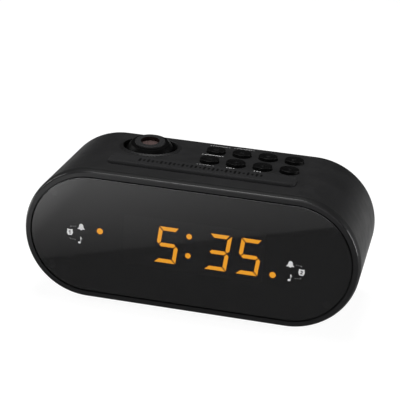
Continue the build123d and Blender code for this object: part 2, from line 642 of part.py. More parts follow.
with BuildPart() as snooze_bar:
    with BuildSketch(Plane.XY.offset(BAR_FLANGE_TOP)):
        with Locations((0, BAR_Y)):
            RectangleRounded(BAR_LENGTH, BAR_WIDTH, BAR_CORNER)
    extrude(amount=BAR_TOP - BAR_FLANGE_TOP)
    fillet(edges().group_by(Axis.Z)[-1], BAR_ROUNDING)
    with BuildSketch(Plane.XY.offset(BAR_FLANGE_TOP)):
        with Locations((0, BAR_Y)):
            RectangleRounded(BAR_LENGTH + 2 * BAR_FLANGE, BAR_WIDTH + 2 * BAR_FLANGE,
                             BAR_CORNER + BAR_FLANGE)
    extrude(amount=-BAR_FLANGE)
    with BuildSketch(Plane.XY.offset(BAR_FLANGE_TOP - BAR_FLANGE)):
        with Locations((0, BAR_Y)):
            RectangleRounded(BAR_LENGTH - 2 * BAR_WALL, BAR_WIDTH - 2 * BAR_WALL,
                             BAR_CORNER - BAR_WALL)
    extrude(amount=BAR_ROOF - BAR_FLANGE_TOP + BAR_FLANGE, mode=Mode.SUBTRACT)
    with BuildSketch(Plane.XY.offset(BAR_ROOF)):
        with Locations(*bar_switches):
            Circle(STEM_RADIUS)
    extrude(amount=-(BAR_ROOF - BAR_STEM_BOTTOM))
    with BuildSketch(Plane.XY.offset(BAR_ROOF)):
        with Locations(*bar_springs):
            Circle(SPRING_POST)
    extrude(amount=-BAR_WALL)
save(snooze_bar, "snooze_bar")

with BuildPart() as snooze_plungers:
    with BuildSketch(Plane.XY.offset(BAR_STEM_BOTTOM)):
        with Locations(*bar_switches):
            Circle(PLUNGER_RADIUS)
    extrude(amount=-(BAR_STEM_BOTTOM - SWITCH_TOP + PLUNGER_DEPTH))
save(snooze_plungers, "snooze_plungers")

SPRING_LENGTH = BAR_ROOF - BUTTON_BOARD_Z
COIL_LENGTH = SPRING_LENGTH - 2 * SPRING_WIRE
with BuildPart() as snooze_springs:
    for x, y in bar_springs:
        with BuildLine() as coil:
            Helix(COIL_LENGTH / SPRING_TURNS, COIL_LENGTH, SPRING_RADIUS,
                  (x, y, BUTTON_BOARD_Z + SPRING_WIRE))
        with BuildSketch(Plane(origin=coil.line @ 0, z_dir=coil.line % 0)):
            Circle(SPRING_WIRE)
        sweep(path=coil.line, is_frenet=True)
save(snooze_springs, "snooze_springs")

# ================================================================ button board and its switches
BUTTON_BOARD_REAR = REAR_ROW_Y + BUTTON_RADIUS + BUTTON_FLANGE
BUTTON_BOARD_FRONT = POST_FRONT_Y - SMALL_BOSS
BUTTON_BOARD_RIGHT = max(button_columns[-1], POST_SIDE_X) + BUTTON_RADIUS
BUTTON_BOARD_LEFT = FIRST_BUTTON_X - BUTTON_PITCH / 2 - BUTTON_RADIUS
STRIP_REAR = BAR_Y + BAR_WIDTH / 2
SWITCH_WELL = PLUNGER_DEPTH + BAR_TRAVEL + STOP_GAP
switch_places = list(button_places.values()) + bar_switches

with BuildPart() as button_pcb:
    with BuildSketch(Plane.XY.offset(BUTTON_BOARD_Z)):
        with BuildLine():
            Polyline((-BUTTON_BOARD_RIGHT, BUTTON_BOARD_FRONT), (BUTTON_BOARD_RIGHT, BUTTON_BOARD_FRONT),
                     (BUTTON_BOARD_RIGHT, BUTTON_BOARD_REAR), (BUTTON_BOARD_LEFT, BUTTON_BOARD_REAR),
                     (BUTTON_BOARD_LEFT, STRIP_REAR), (-BUTTON_BOARD_RIGHT, STRIP_REAR), close=True)
        make_face()
        with Locations(*button_posts):
            Circle(SMALL_SCREW + 2 * RUNNING, mode=Mode.SUBTRACT)
    extrude(amount=-BOARD)
save(button_pcb, "button_pcb")

with BuildPart() as tact_switches:
    with BuildSketch(Plane.XY.offset(BUTTON_BOARD_Z)):
        with Locations(*switch_places):
            Rectangle(SWITCH_SIZE, SWITCH_SIZE)
    extrude(amount=SWITCH_HEIGHT)
    with BuildSketch(Plane.XY.offset(SWITCH_TOP)):
        with Locations(*switch_places):
            Circle(PLUNGER_RADIUS + 2 * RUNNING)
    extrude(amount=-SWITCH_WELL, mode=Mode.SUBTRACT)
save(tact_switches, "tact_switches")

# ================================================================ projector
LIP_BOTTOM = TOP_Z - LIP_SEAT
CREST_Z = TOP_Z + LIP_PROUD
lip_plane = Plane(origin=(PROJECTOR_X, PROJECTOR_Y, 0), x_dir=(1, 0, 0), z_dir=(0, -1, 0))
lip_axis = Axis((PROJECTOR_X, PROJECTOR_Y, 0), (0, 0, 1))
with BuildPart() as projector_trim_ring:
    turned([(LIP_INNER, LIP_BOTTOM), (LIP_OUTER, LIP_BOTTOM), (LIP_OUTER, TOP_Z + LIP_RIM),
            (LIP_INNER + LIP_CREST, CREST_Z), (LIP_INNER, CREST_Z)], lip_plane, lip_axis)
    fillet(edges().filter_by(GeomType.CIRCLE).group_by(Axis.Z)[-1], LIP_EDGE)
save(projector_trim_ring, "projector_trim_ring")

FLANGE_RADIUS = WELL_OUTER - FLANGE_GAP
with BuildPart() as projector_turntable:
    with BuildSketch(Plane.XY.offset(BALL_Z + TURNTABLE_BOTTOM)):
        with Locations((PROJECTOR_X, PROJECTOR_Y)):
            ring(EAR_OUTER, TURNTABLE_BORE)
    extrude(amount=TURNTABLE_TOP - TURNTABLE_BOTTOM)
    with BuildSketch(Plane.XY.offset(BALL_Z + TURNTABLE_BOTTOM)):
        with Locations((PROJECTOR_X, PROJECTOR_Y)):
            ring(FLANGE_RADIUS, TURNTABLE_BORE)
    extrude(amount=TURNTABLE_FLANGE)
    with BuildSketch(Plane.XY.offset(BALL_Z + TURNTABLE_TOP)):
        with Locations((PROJECTOR_X, PROJECTOR_Y)):
            Rectangle(2 * EAR_OUTER, EAR_WIDTH)
            Circle(EAR_OUTER, mode=Mode.INTERSECT)
            Circle(BALL_SPACE, mode=Mode.SUBTRACT)
    extrude(amount=EAR_RISE - TURNTABLE_TOP)
    with BuildSketch(Plane.YZ.offset(PROJECTOR_X - EAR_OUTER)):
        with Locations((PROJECTOR_Y, BALL_Z)):
            Circle(PIN_RADIUS)
    extrude(amount=2 * EAR_OUTER, mode=Mode.SUBTRACT)
    with Locations((PROJECTOR_X, PROJECTOR_Y, BALL_Z)):
        Sphere(BALL_SPACE, mode=Mode.SUBTRACT)
save(projector_turntable, "projector_turntable")

PIN_INNER = BALL_RADIUS - BALL_SHELL
with BuildPart() as tilt_pins:
    for side in (-1, 1):
        with BuildSketch(Plane.YZ.offset(PROJECTOR_X + side * PIN_INNER)):
            with Locations((PROJECTOR_Y, BALL_Z)):
                Circle(PIN_RADIUS)
        extrude(amount=side * (EAR_OUTER - PIN_INNER))
save(tilt_pins, "tilt_pins")

with BuildPart() as projector_retainer:
    with BuildSketch(Plane.XY.offset(RETAINER_TOP)):
        with Locations((PROJECTOR_X, PROJECTOR_Y)):
            Circle(WELL_OUTER)
        with Locations(*well_posts):
            Circle(SMALL_BOSS)
        with Locations((PROJECTOR_X, PROJECTOR_Y)):
            Circle(RETAINER_BORE, mode=Mode.SUBTRACT)
        with Locations(*well_posts):
            Circle(SMALL_SCREW + 2 * RUNNING, mode=Mode.SUBTRACT)
    extrude(amount=-RETAINER_THICKNESS)
save(projector_retainer, "projector_retainer")

# The ball's own frame: its axis leans to the front, and its section plane holds that axis.
BALL = Vector(PROJECTOR_X, PROJECTOR_Y, BALL_Z)
HEAD_AXIS = Vector(0, -sin(radians(HEAD_TILT)), cos(radians(HEAD_TILT)))
head_plane = Plane(origin=BALL, x_dir=(1, 0, 0), z_dir=HEAD_AXIS)
section_plane = Plane(origin=BALL, x_dir=(1, 0, 0), z_dir=Vector(1, 0, 0).cross(HEAD_AXIS))
spin_axis = Axis(BALL, HEAD_AXIS)
BALL_INNER = BALL_RADIUS - BALL_SHELL


def pin_holes():
    """Cut the running holes for the tilt pins out of the current shell."""
    with BuildSketch(Plane.YZ.offset(PROJECTOR_X - BALL_RADIUS)) as hole:
        with Locations((PROJECTOR_Y, BALL_Z)):
            Circle(PIN_RADIUS + RUNNING)
    extrude(hole.sketch, amount=2 * BALL_RADIUS, mode=Mode.SUBTRACT)


def round_lens(radius, bottom, rim):
    """A lens on the ball's axis with a flat rim and a bulge on each side, in the current part."""
    ball = (radius ** 2 + LENS_BULGE ** 2) / (2 * LENS_BULGE)
    half = LENS_BULGE - ball + sqrt(ball ** 2 - radius ** 2 / 4)
    top = bottom + rim
    with BuildSketch(section_plane) as outline:
        with BuildLine():
            ThreePointArc((0, top + LENS_BULGE), (radius / 2, top + half), (radius, top))
            Line((radius, top), (radius, bottom))
            ThreePointArc((radius, bottom), (radius / 2, bottom - half), (0, bottom - LENS_BULGE))
            Line((0, bottom - LENS_BULGE), (0, top + LENS_BULGE))
        make_face()
    revolve(outline.sketch, axis=spin_axis)


NECK_RADIUS = BARREL_RADIUS + 2 * RUNNING
NECK_OUTER = NECK_RADIUS + NECK_WALL
NECK_BOTTOM = LCD_BOTTOM + LCD_THICKNESS
CROWN_RADIUS = sqrt(BALL_RADIUS ** 2 - CROWN_CUT ** 2)
with BuildPart() as projector_head_upper:
    with Locations(head_plane):
        Sphere(BALL_RADIUS)
        Sphere(BALL_INNER, mode=Mode.SUBTRACT)
    split(bisect_by=head_plane, keep=Keep.TOP)
    split(bisect_by=head_plane.offset(CROWN_CUT), keep=Keep.BOTTOM)
    with BuildSketch(head_plane.offset(CROWN_CUT)):
        Circle(CROWN_RADIUS - CROWN_LEDGE)
    extrude(amount=-BALL_SHELL)
    with BuildSketch(head_plane.offset(CROWN_CUT)):
        Circle(NECK_OUTER)
    extrude(amount=-(CROWN_CUT - NECK_BOTTOM))
    with BuildSketch(head_plane.offset(CROWN_CUT)):
        Circle(NECK_RADIUS)
    extrude(amount=-(CROWN_CUT - NECK_BOTTOM), mode=Mode.SUBTRACT)
    pin_holes()
save(projector_head_upper, "projector_head_upper")

with BuildPart() as projector_head_lower:
    with Locations(head_plane):
        Sphere(BALL_RADIUS)
        Sphere(BALL_INNER, mode=Mode.SUBTRACT)
    split(bisect_by=head_plane, keep=Keep.BOTTOM)
    with BuildSketch(head_plane.offset(-BALL_RADIUS)):
        Circle(WIRE_HOLE)
    extrude(amount=BALL_RADIUS, mode=Mode.SUBTRACT)
    pin_holes()
save(projector_head_lower, "projector_head_lower")

RING_BOTTOM = CROWN_CUT + 2 * RUNNING
with BuildPart() as focus_ring:
    turned([(BARREL_INNER, BARREL_BOTTOM), (BARREL_RADIUS, BARREL_BOTTOM), (BARREL_RADIUS, RING_BOTTOM),
            (RING_RADIUS, RING_BOTTOM), (RING_RADIUS, RING_TOP), (APERTURE, RING_TOP),
            (APERTURE, PROJECTION_LENS_TOP), (BARREL_INNER, PROJECTION_LENS_TOP)],
           section_plane, spin_axis)
    fillet(edges().filter_by(GeomType.CIRCLE).group_by(spin_axis)[-1].sort_by(SortBy.LENGTH)[-1],
           RING_EDGE)
save(focus_ring, "focus_ring")

with BuildPart() as projection_lens:
    round_lens(BARREL_INNER, PROJECTION_LENS_TOP - PROJECTION_LENS_RIM - 2 * RUNNING,
               PROJECTION_LENS_RIM)
save(projection_lens, "projection_lens")

SLEEVE_INNER = SLEEVE_RADIUS - SLEEVE_WALL
with BuildPart() as optics_sleeve:
    turned([(SLEEVE_INNER, LED_BOARD_TOP), (SLEEVE_RADIUS, LED_BOARD_TOP), (SLEEVE_RADIUS, LCD_BOTTOM),
            (SLEEVE_INNER, LCD_BOTTOM)], section_plane, spin_axis)
save(optics_sleeve, "optics_sleeve")

with BuildPart() as condenser_lens:
    round_lens(SLEEVE_INNER, CONDENSER_Z, CONDENSER_RIM)
save(condenser_lens, "condenser_lens")

with BuildPart() as projector_lcd:
    with BuildSketch(head_plane.offset(LCD_BOTTOM)):
        Rectangle(LCD_SIZE, LCD_SIZE)
    extrude(amount=LCD_THICKNESS)
save(projector_lcd, "projector_lcd")

LED_BOARD_BOTTOM = LED_BOARD_TOP - LED_BOARD_THICKNESS
LED_BOARD_RADIUS = sqrt(BALL_INNER ** 2 - LED_BOARD_BOTTOM ** 2) - RUNNING
with BuildPart() as projector_led:
    with BuildSketch(head_plane.offset(LED_BOARD_BOTTOM)):
        Circle(LED_BOARD_RADIUS)
    extrude(amount=LED_BOARD_THICKNESS)
    with BuildSketch(head_plane.offset(LED_BOARD_TOP)):
        Circle(LED_RADIUS)
    extrude(amount=LED_LENGTH)
    fillet(edges().group_by(spin_axis)[-1], LED_RADIUS * 0.8)
save(projector_led, "projector_led")

# ================================================================ rear cover and battery bay
COVER_INNER = SLEEVE_REAR
BAY_LENGTH = CELL_LENGTH + 2 * CELL_SPACE
BAY_HEIGHT = CELL_PITCH + 2 * (CELL_RADIUS + BAY_ROOM)
BAY_DEPTH = 2 * (CELL_RADIUS + BAY_ROOM)
OPENING_LENGTH = BAY_LENGTH + 2 * DOOR_MARGIN
OPENING_HEIGHT = BAY_HEIGHT + 2 * DOOR_MARGIN
BAY_HIGH = BAY_Z - MID_Z
HINGE_Y = REAR_Y - HINGE_RADIUS
HINGE_Z = BAY_Z - OPENING_HEIGHT / 2 + DOOR_GAP + HINGE_RADIUS
JACK_Z = BOARD_TOP + JACK_HEIGHT / 2
FLANGE_Y = COVER_INNER - SPEAKER_STANDOFF
SPEAKER_SCREW = SPEAKER_RADIUS - SPEAKER_HOLE
speaker_holes = [(SPEAKER_X + sx * SPEAKER_SCREW, sz * SPEAKER_SCREW)
                 for sx in (-1, 1) for sz in (-1, 1)]

with BuildPart() as rear_cover:
    with BuildSketch(facing(REAR_Y)):
        SlotOverall(WIDTH, HEIGHT)
    extrude(amount=COVER_THICKNESS)
    fillet(edges().group_by(Axis.Y)[-1], COVER_THICKNESS - EDGE_BREAK)
    # spigot and corner posts
    with BuildSketch(facing(COVER_INNER)):
        SlotOverall(SPIGOT_WIDTH, SPIGOT_HEIGHT)
        SlotOverall(SPIGOT_WIDTH - 2 * SPIGOT_WALL, SPIGOT_HEIGHT - 2 * SPIGOT_WALL,
                    mode=Mode.SUBTRACT)
        with Locations(*corners):
            Circle(BOSS_RADIUS)
        SlotOverall(SPIGOT_WIDTH, SPIGOT_HEIGHT, mode=Mode.INTERSECT)
    extrude(amount=REAR_SPIGOT)
    with BuildSketch(facing(REAR_Y)):
        with Locations(*corners):
            Circle(SCREW_RADIUS + 3 * RUNNING)
    extrude(amount=COVER_THICKNESS + REAR_SPIGOT, mode=Mode.SUBTRACT)
    with BuildSketch(facing(REAR_Y)):
        with Locations(*corners):
            Circle(HEAD_RADIUS + MOVING)
    extrude(amount=COVER_THICKNESS, mode=Mode.SUBTRACT)
    # battery bay behind its opening, with a block at each end for the hinge pins
    with BuildSketch(facing(COVER_INNER)):
        with Locations((BAY_X, BAY_HIGH)):
            Rectangle(BAY_LENGTH + 2 * BAY_WALL, BAY_HEIGHT + 2 * BAY_WALL)
    extrude(amount=BAY_DEPTH + BAY_WALL)
    with BuildSketch(facing(COVER_INNER)):
        with Locations((BAY_X, HINGE_Z - MID_Z)):
            Rectangle(OPENING_LENGTH + 2 * HINGE_BLOCK_END, 2 * (HINGE_RADIUS + HINGE_BLOCK))
    extrude(amount=HINGE_BLOCK)
    with BuildSketch(facing(COVER_INNER)):
        with Locations((BAY_X, BAY_HIGH)):
            Rectangle(BAY_LENGTH, BAY_HEIGHT)
    extrude(amount=BAY_DEPTH, mode=Mode.SUBTRACT)
    with BuildSketch(facing(REAR_Y)):
        with Locations((BAY_X, BAY_HIGH)):
            Rectangle(OPENING_LENGTH, OPENING_HEIGHT)
    extrude(amount=COVER_THICKNESS, mode=Mode.SUBTRACT)
    with BuildSketch(Plane.YZ.offset(BAY_X)):
        with Locations((HINGE_Y, HINGE_Z)):
            Circle(HINGE_RADIUS + DOOR_GAP)
    extrude(amount=OPENING_LENGTH / 2, both=True, mode=Mode.SUBTRACT)
    with BuildSketch(Plane.YZ.offset(BAY_X)):
        with Locations((HINGE_Y, HINGE_Z)):
            Circle(HINGE_PIN + RUNNING)
    extrude(amount=OPENING_LENGTH / 2 + HINGE_PIN_LENGTH + DOOR_GAP, both=True, mode=Mode.SUBTRACT)
    # finger notch above the door
    with BuildSketch(facing(REAR_Y)):
        with Locations((BAY_X, BAY_HIGH + OPENING_HEIGHT / 2)):
            Circle(NOTCH_RADIUS)
    extrude(amount=COVER_THICKNESS / 2, mode=Mode.SUBTRACT)
    # holes for the power socket and the aerial's grommet
    with BuildSketch(facing(REAR_Y)):
        with Locations((JACK_X, JACK_Z - MID_Z)):
            Circle(JACK_NOSE + SEAM)
        with Locations((GROMMET_X, JACK_Z - MID_Z)):
            Circle(GROMMET_RADIUS)
    extrude(amount=COVER_THICKNESS, mode=Mode.SUBTRACT)
    # speaker grille, its rib and its posts
    with BuildSketch(facing(COVER_INNER)):
        with Locations((SPEAKER_X, 0)):
            ring(SPEAKER_RADIUS - RIB_INSET, SPEAKER_RADIUS - RIB_INSET - RIB_WALL)
        with Locations(*speaker_holes):
            Circle(SMALL_BOSS)
    extrude(amount=SPEAKER_STANDOFF)
    with BuildSketch(facing(FLANGE_Y)):
        with Locations(*speaker_holes):
            Circle(SMALL_SCREW + RUNNING)
    extrude(amount=-(SMALL_LENGTH - SPEAKER_FLANGE), mode=Mode.SUBTRACT)
    with BuildSketch(facing(REAR_Y)):
        with Locations((SPEAKER_X, 0)):
            Circle(GRILLE_HOLE)
            for n in range(1, GRILLE_RINGS + 1):
                with PolarLocations(n * GRILLE_PITCH, 6 * n):
                    Circle(GRILLE_HOLE)
    extrude(amount=COVER_THICKNESS, mode=Mode.SUBTRACT)
save(rear_cover, "rear_cover")

DOOR_LENGTH = OPENING_LENGTH - 2 * DOOR_GAP
DOOR_TOP = BAY_Z + OPENING_HEIGHT / 2 - DOOR_GAP
DOOR_INNER = COVER_INNER + STOP_GAP
with BuildPart() as battery_door:
    with BuildSketch(Plane.YZ.offset(BAY_X)):
        with BuildLine():
            Polyline((DOOR_INNER, HINGE_Z), (REAR_Y, HINGE_Z), (REAR_Y, DOOR_TOP),
                     (DOOR_INNER, DOOR_TOP), close=True)
        make_face()
        with Locations((HINGE_Y, HINGE_Z)):
            Circle(HINGE_RADIUS)
    extrude(amount=DOOR_LENGTH / 2, both=True)
    with BuildSketch(Plane.YZ.offset(BAY_X)):
        with Locations((HINGE_Y, HINGE_Z)):
            Circle(HINGE_PIN)
    extrude(amount=OPENING_LENGTH / 2 + HINGE_PIN_LENGTH, both=True)
    # grip ribs near the top edge
    with BuildSketch(facing(REAR_Y)):
        with Locations((BAY_X, DOOR_TOP - MID_Z - 3 * GRIP_PITCH)):
            with GridLocations(0, GRIP_PITCH, 1, 3):
                SlotOverall(GRIP_LENGTH, GRIP_WIDTH)
    extrude(amount=GRIP_WIDTH / 2, mode=Mode.SUBTRACT)
save(battery_door, "battery_door")

CELL_Y = COVER_INNER - BAY_ROOM - CELL_RADIUS
cell_rows = [(BAY_Z - CELL_PITCH / 2, 1), (BAY_Z + CELL_PITCH / 2, -1)]
with BuildPart() as battery_cells:
    for z, way in cell_rows:
        start = Plane.YZ.offset(BAY_X - way * CELL_LENGTH / 2)
        with BuildSketch(start):
            with Locations((CELL_Y, z)):
                Circle(CELL_RADIUS)
        extrude(amount=way * (CELL_LENGTH - NIPPLE_LENGTH))
        with BuildSketch(start):
            with Locations((CELL_Y, z)):
                Circle(CELL_NIPPLE)
        extrude(amount=way * CELL_LENGTH)
save(battery_cells, "battery_cells")

# Each cell presses a flat contact with its button end and a coil with its flat end.
BAY_END = BAY_LENGTH / 2
with BuildPart() as battery_contacts:
    for z, way in cell_rows:
        for side in (-1, 1):
            with BuildSketch(Plane.YZ.offset(BAY_X + side * BAY_END)):
                with Locations((CELL_Y, z)):
                    Rectangle(CONTACT_SIZE, CONTACT_SIZE)
            extrude(amount=-side * CONTACT_PLATE)
        with BuildSketch(Plane.YZ.offset(BAY_X + way * (BAY_END - CONTACT_PLATE))):
            with Locations((CELL_Y, z)):
                Circle(CELL_RADIUS / 2)
        extrude(amount=-way * (CELL_SPACE - CONTACT_PLATE))
        coil_space = CELL_SPACE - CONTACT_PLATE - 2 * CONTACT_WIRE
        coil_start = (BAY_X - way * (BAY_END - CONTACT_PLATE - CONTACT_WIRE), CELL_Y, z)
        with BuildLine() as coil:
            Helix(coil_space / CONTACT_TURNS, coil_space, CONTACT_SPRING, coil_start, (way, 0, 0))
        with BuildSketch(Plane(origin=coil.line @ 0, z_dir=coil.line % 0)):
            Circle(CONTACT_WIRE)
        sweep(path=coil.line, is_frenet=True)
save(battery_contacts, "battery_contacts")

# ================================================================ power socket, grommet, speaker
JACK_FACE = REAR_Y - 2 * SEAM
with BuildPart() as dc_jack:
    with BuildSketch(facing(COVER_INNER)):
        with Locations((JACK_X, JACK_Z - MID_Z)):
            Rectangle(JACK_WIDTH, JACK_HEIGHT)
    extrude(amount=JACK_DEPTH)
    with BuildSketch(facing(JACK_FACE)):
        with Locations((JACK_X, JACK_Z - MID_Z)):
            Circle(JACK_NOSE)
    extrude(amount=JACK_FACE - COVER_INNER)
    with BuildSketch(facing(JACK_FACE)):
        with Locations((JACK_X, JACK_Z - MID_Z)):
            Circle(JACK_BORE)
    extrude(amount=JACK_BORE_DEPTH, mode=Mode.SUBTRACT)
save(dc_jack, "dc_jack")

with BuildPart() as antenna_grommet:
    with BuildSketch(facing(REAR_Y)):
        with Locations((GROMMET_X, JACK_Z - MID_Z)):
            ring(GROMMET_RADIUS, AERIAL_RADIUS)
    extrude(amount=COVER_THICKNESS)
    with BuildSketch(facing(COVER_INNER)):
        with Locations((GROMMET_X, JACK_Z - MID_Z)):
            ring(GROMMET_RADIUS + GROMMET_LIP, AERIAL_RADIUS)
    extrude(amount=GROMMET_LIP)
save(antenna_grommet, "antenna_grommet")

speaker_plane = Plane(origin=(SPEAKER_X, FLANGE_Y, MID_Z), x_dir=(1, 0, 0), z_dir=(0, 0, -1))
speaker_axis = Axis((SPEAKER_X, FLANGE_Y, MID_Z), (0, 1, 0))
CONE_RIM = SPEAKER_RADIUS - CONE_INSET
CONE_MOUTH = CONE_RIM - CONE_SURROUND
VOICE_COIL = MAGNET_RADIUS / 2
with BuildPart() as speaker_frame:
    with BuildSketch(facing(FLANGE_Y)):
        with Locations((SPEAKER_X, 0)):
            RectangleRounded(2 * SPEAKER_RADIUS, 2 * SPEAKER_RADIUS, SPEAKER_HOLE)
            Circle(CONE_MOUTH, mode=Mode.SUBTRACT)
        with Locations(*speaker_holes):
            Circle(SMALL_SCREW + 2 * RUNNING, mode=Mode.SUBTRACT)
    extrude(amount=SPEAKER_FLANGE)
    turned([(CONE_MOUTH, 0), (CONE_MOUTH + BASKET_WALL, 0), (MAGNET_RADIUS, SPEAKER_DEPTH),
            (VOICE_COIL, SPEAKER_DEPTH), (VOICE_COIL, SPEAKER_DEPTH - BASKET_WALL),
            (MAGNET_RADIUS - BASKET_WALL, SPEAKER_DEPTH - BASKET_WALL)], speaker_plane, speaker_axis)
save(speaker_frame, "speaker_frame")

with BuildPart() as speaker_magnet:
    with BuildSketch(facing(FLANGE_Y - SPEAKER_DEPTH)):
        with Locations((SPEAKER_X, 0)):
            Circle(MAGNET_RADIUS)
    extrude(amount=MAGNET_DEPTH)
    chamfer(edges().group_by(Axis.Y)[0], BASKET_WALL)
save(speaker_magnet, "speaker_magnet")

CONE_DEPTH = SPEAKER_DEPTH / 2
with BuildPart() as speaker_cone:
    turned([(CONE_RIM, 0), (CONE_RIM, -CONE_WALL), (CONE_MOUTH - CONE_WALL, -CONE_WALL),
            (VOICE_COIL, CONE_DEPTH - CONE_WALL), (0, CONE_DEPTH / 2), (0, CONE_DEPTH / 2 + CONE_WALL),
            (VOICE_COIL, CONE_DEPTH), (CONE_MOUTH - CONE_WALL, 0)], speaker_plane, speaker_axis)
save(speaker_cone, "speaker_cone")

# ================================================================ main board
DISPLAY_PLUG_Y = DISPLAY_BOARD_Y + BOARD + CONNECTOR_SIZE
FRONT_PLUG_Y = DISPLAY_PLUG_Y + RIBBON_RUN + RIBBON_BEND
PLUG_TOP = BOARD_TOP + CONNECTOR_SIZE
DISPLAY_PLUG_Z = PLUG_TOP + RIBBON_RISE + RIBBON_BEND
BUTTON_PLUG_Z = BUTTON_BOARD_Z - BOARD - CONNECTOR_SIZE
with BuildPart() as main_pcb:
    with BuildSketch(Plane.XY.offset(MAIN_BOARD_Z)):
        with Locations((0, (MAIN_BOARD_FRONT + MAIN_BOARD_REAR) / 2)):
            Rectangle(MAIN_BOARD_WIDTH, MAIN_BOARD_REAR - MAIN_BOARD_FRONT)
        with Locations(*main_posts):
            Circle(SMALL_SCREW + 2 * RUNNING, mode=Mode.SUBTRACT)
    extrude(amount=BOARD)
save(main_pcb, "main_pcb")

with BuildPart() as control_chips:
    with BuildSketch(Plane.XY.offset(BOARD_TOP)):
        with Locations(*CHIP_PLACES):
            Rectangle(CHIP_LENGTH, CHIP_WIDTH)
    extrude(amount=CHIP_HEIGHT)
    chamfer(edges().group_by(Axis.Z)[-1], CHIP_HEIGHT / 5)
save(control_chips, "control_chips")

with BuildPart() as tuner_shield:
    with BuildSketch(Plane.XY.offset(BOARD_TOP)):
        with Locations(CAN_PLACE):
            Rectangle(CAN_LENGTH, CAN_WIDTH)
    extrude(amount=CAN_HEIGHT)
    fillet(edges().filter_by(Axis.Z), 2 * CAN_WALL)
    with BuildSketch(Plane.XY.offset(BOARD_TOP)):
        with Locations(CAN_PLACE):
            Rectangle(CAN_LENGTH - 2 * CAN_WALL, CAN_WIDTH - 2 * CAN_WALL)
    extrude(amount=CAN_HEIGHT - CAN_WALL, mode=Mode.SUBTRACT)
save(tuner_shield, "tuner_shield")

with BuildPart() as capacitors:
    with BuildSketch(Plane.XY.offset(BOARD_TOP)):
        with Locations(*CAPACITOR_PLACES):
            Circle(CAPACITOR_RADIUS)
    extrude(amount=CAPACITOR_HEIGHT)
    fillet(edges().group_by(Axis.Z)[-1], CAPACITOR_RADIUS / 8)
save(capacitors, "capacitors")

with BuildPart() as board_connectors:
    with BuildSketch(Plane.XY.offset(BOARD_TOP)):
        with Locations((FRONT_PLUG_X, FRONT_PLUG_Y), (TOP_PLUG_X, TOP_PLUG_Y)):
            Rectangle(CONNECTOR_LENGTH, CONNECTOR_SIZE)
    extrude(amount=CONNECTOR_SIZE)
    with BuildSketch(Plane.XY.offset(BUTTON_PLUG_Z)):
        with Locations((TOP_PLUG_X, TOP_PLUG_Y)):
            Rectangle(CONNECTOR_LENGTH, CONNECTOR_SIZE)
    extrude(amount=CONNECTOR_SIZE)
    with BuildSketch(facing(DISPLAY_PLUG_Y)):
        with Locations((FRONT_PLUG_X, DISPLAY_PLUG_Z - MID_Z)):
            Rectangle(CONNECTOR_LENGTH, CONNECTOR_SIZE)
    extrude(amount=CONNECTOR_SIZE)
save(board_connectors, "board_connectors")

with BuildPart() as ribbon_cables:
    with BuildSketch(Plane.YZ.offset(FRONT_PLUG_X)):
        with BuildLine():
            FilletPolyline((FRONT_PLUG_Y, PLUG_TOP), (FRONT_PLUG_Y, DISPLAY_PLUG_Z),
                           (DISPLAY_PLUG_Y, DISPLAY_PLUG_Z), radius=RIBBON_BEND)
        trace(line_width=RIBBON_THICKNESS)
    extrude(amount=RIBBON_WIDTH / 2, both=True)
    with BuildSketch(Plane.XY.offset(PLUG_TOP)):
        with Locations((TOP_PLUG_X, TOP_PLUG_Y)):
            Rectangle(RIBBON_WIDTH, RIBBON_THICKNESS)
    extrude(amount=BUTTON_PLUG_Z - PLUG_TOP)
save(ribbon_cables, "ribbon_cables")

# ================================================================ screws
with BuildPart() as case_screws:
    for x, z in corners:
        front = Plane(origin=(x, FLOOR_FRONT + HEAD_SINK, MID_Z + z), z_dir=(0, -1, 0))
        screw(front, SCREW_RADIUS, SCREW_LENGTH, HEAD_RADIUS, HEAD_HEIGHT)
        rear = Plane(origin=(x, COVER_INNER, MID_Z + z), z_dir=(0, 1, 0))
        screw(rear, SCREW_RADIUS, SCREW_LENGTH, HEAD_RADIUS, HEAD_HEIGHT)
save(case_screws, "case_screws")

screw_planes = [Plane(origin=(x, DISPLAY_BOARD_Y + BOARD, MID_Z + z), z_dir=(0, 1, 0))
                for x, z in board_posts]
screw_planes += [Plane(origin=(x, FLANGE_Y - SPEAKER_FLANGE, MID_Z + z), z_dir=(0, -1, 0))
                 for x, z in speaker_holes]
screw_planes += [Plane(origin=(x, y, BUTTON_BOARD_Z - BOARD), z_dir=(0, 0, -1))
                 for x, y in button_posts]
screw_planes += [Plane(origin=(x, y, BOARD_TOP), z_dir=(0, 0, 1)) for x, y in main_posts]
screw_planes += [Plane(origin=(x, y, RETAINER_TOP - RETAINER_THICKNESS), z_dir=(0, 0, -1))
                 for x, y in well_posts]
with BuildPart() as board_screws:
    for plane in screw_planes:
        screw(plane, SMALL_SCREW, SMALL_LENGTH, SMALL_HEAD, SMALL_HEAD_HEIGHT)
save(board_screws, "board_screws")
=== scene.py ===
"""Dresses the projection alarm clock: finishes, lit digits, printed and raised marks, studio.

Metres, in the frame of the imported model: X to the right, Y to the back, Z up. The outlines of the
marks are in millimetres.
"""
import json
import math

import bmesh
import bpy
from mathutils import Matrix, Vector


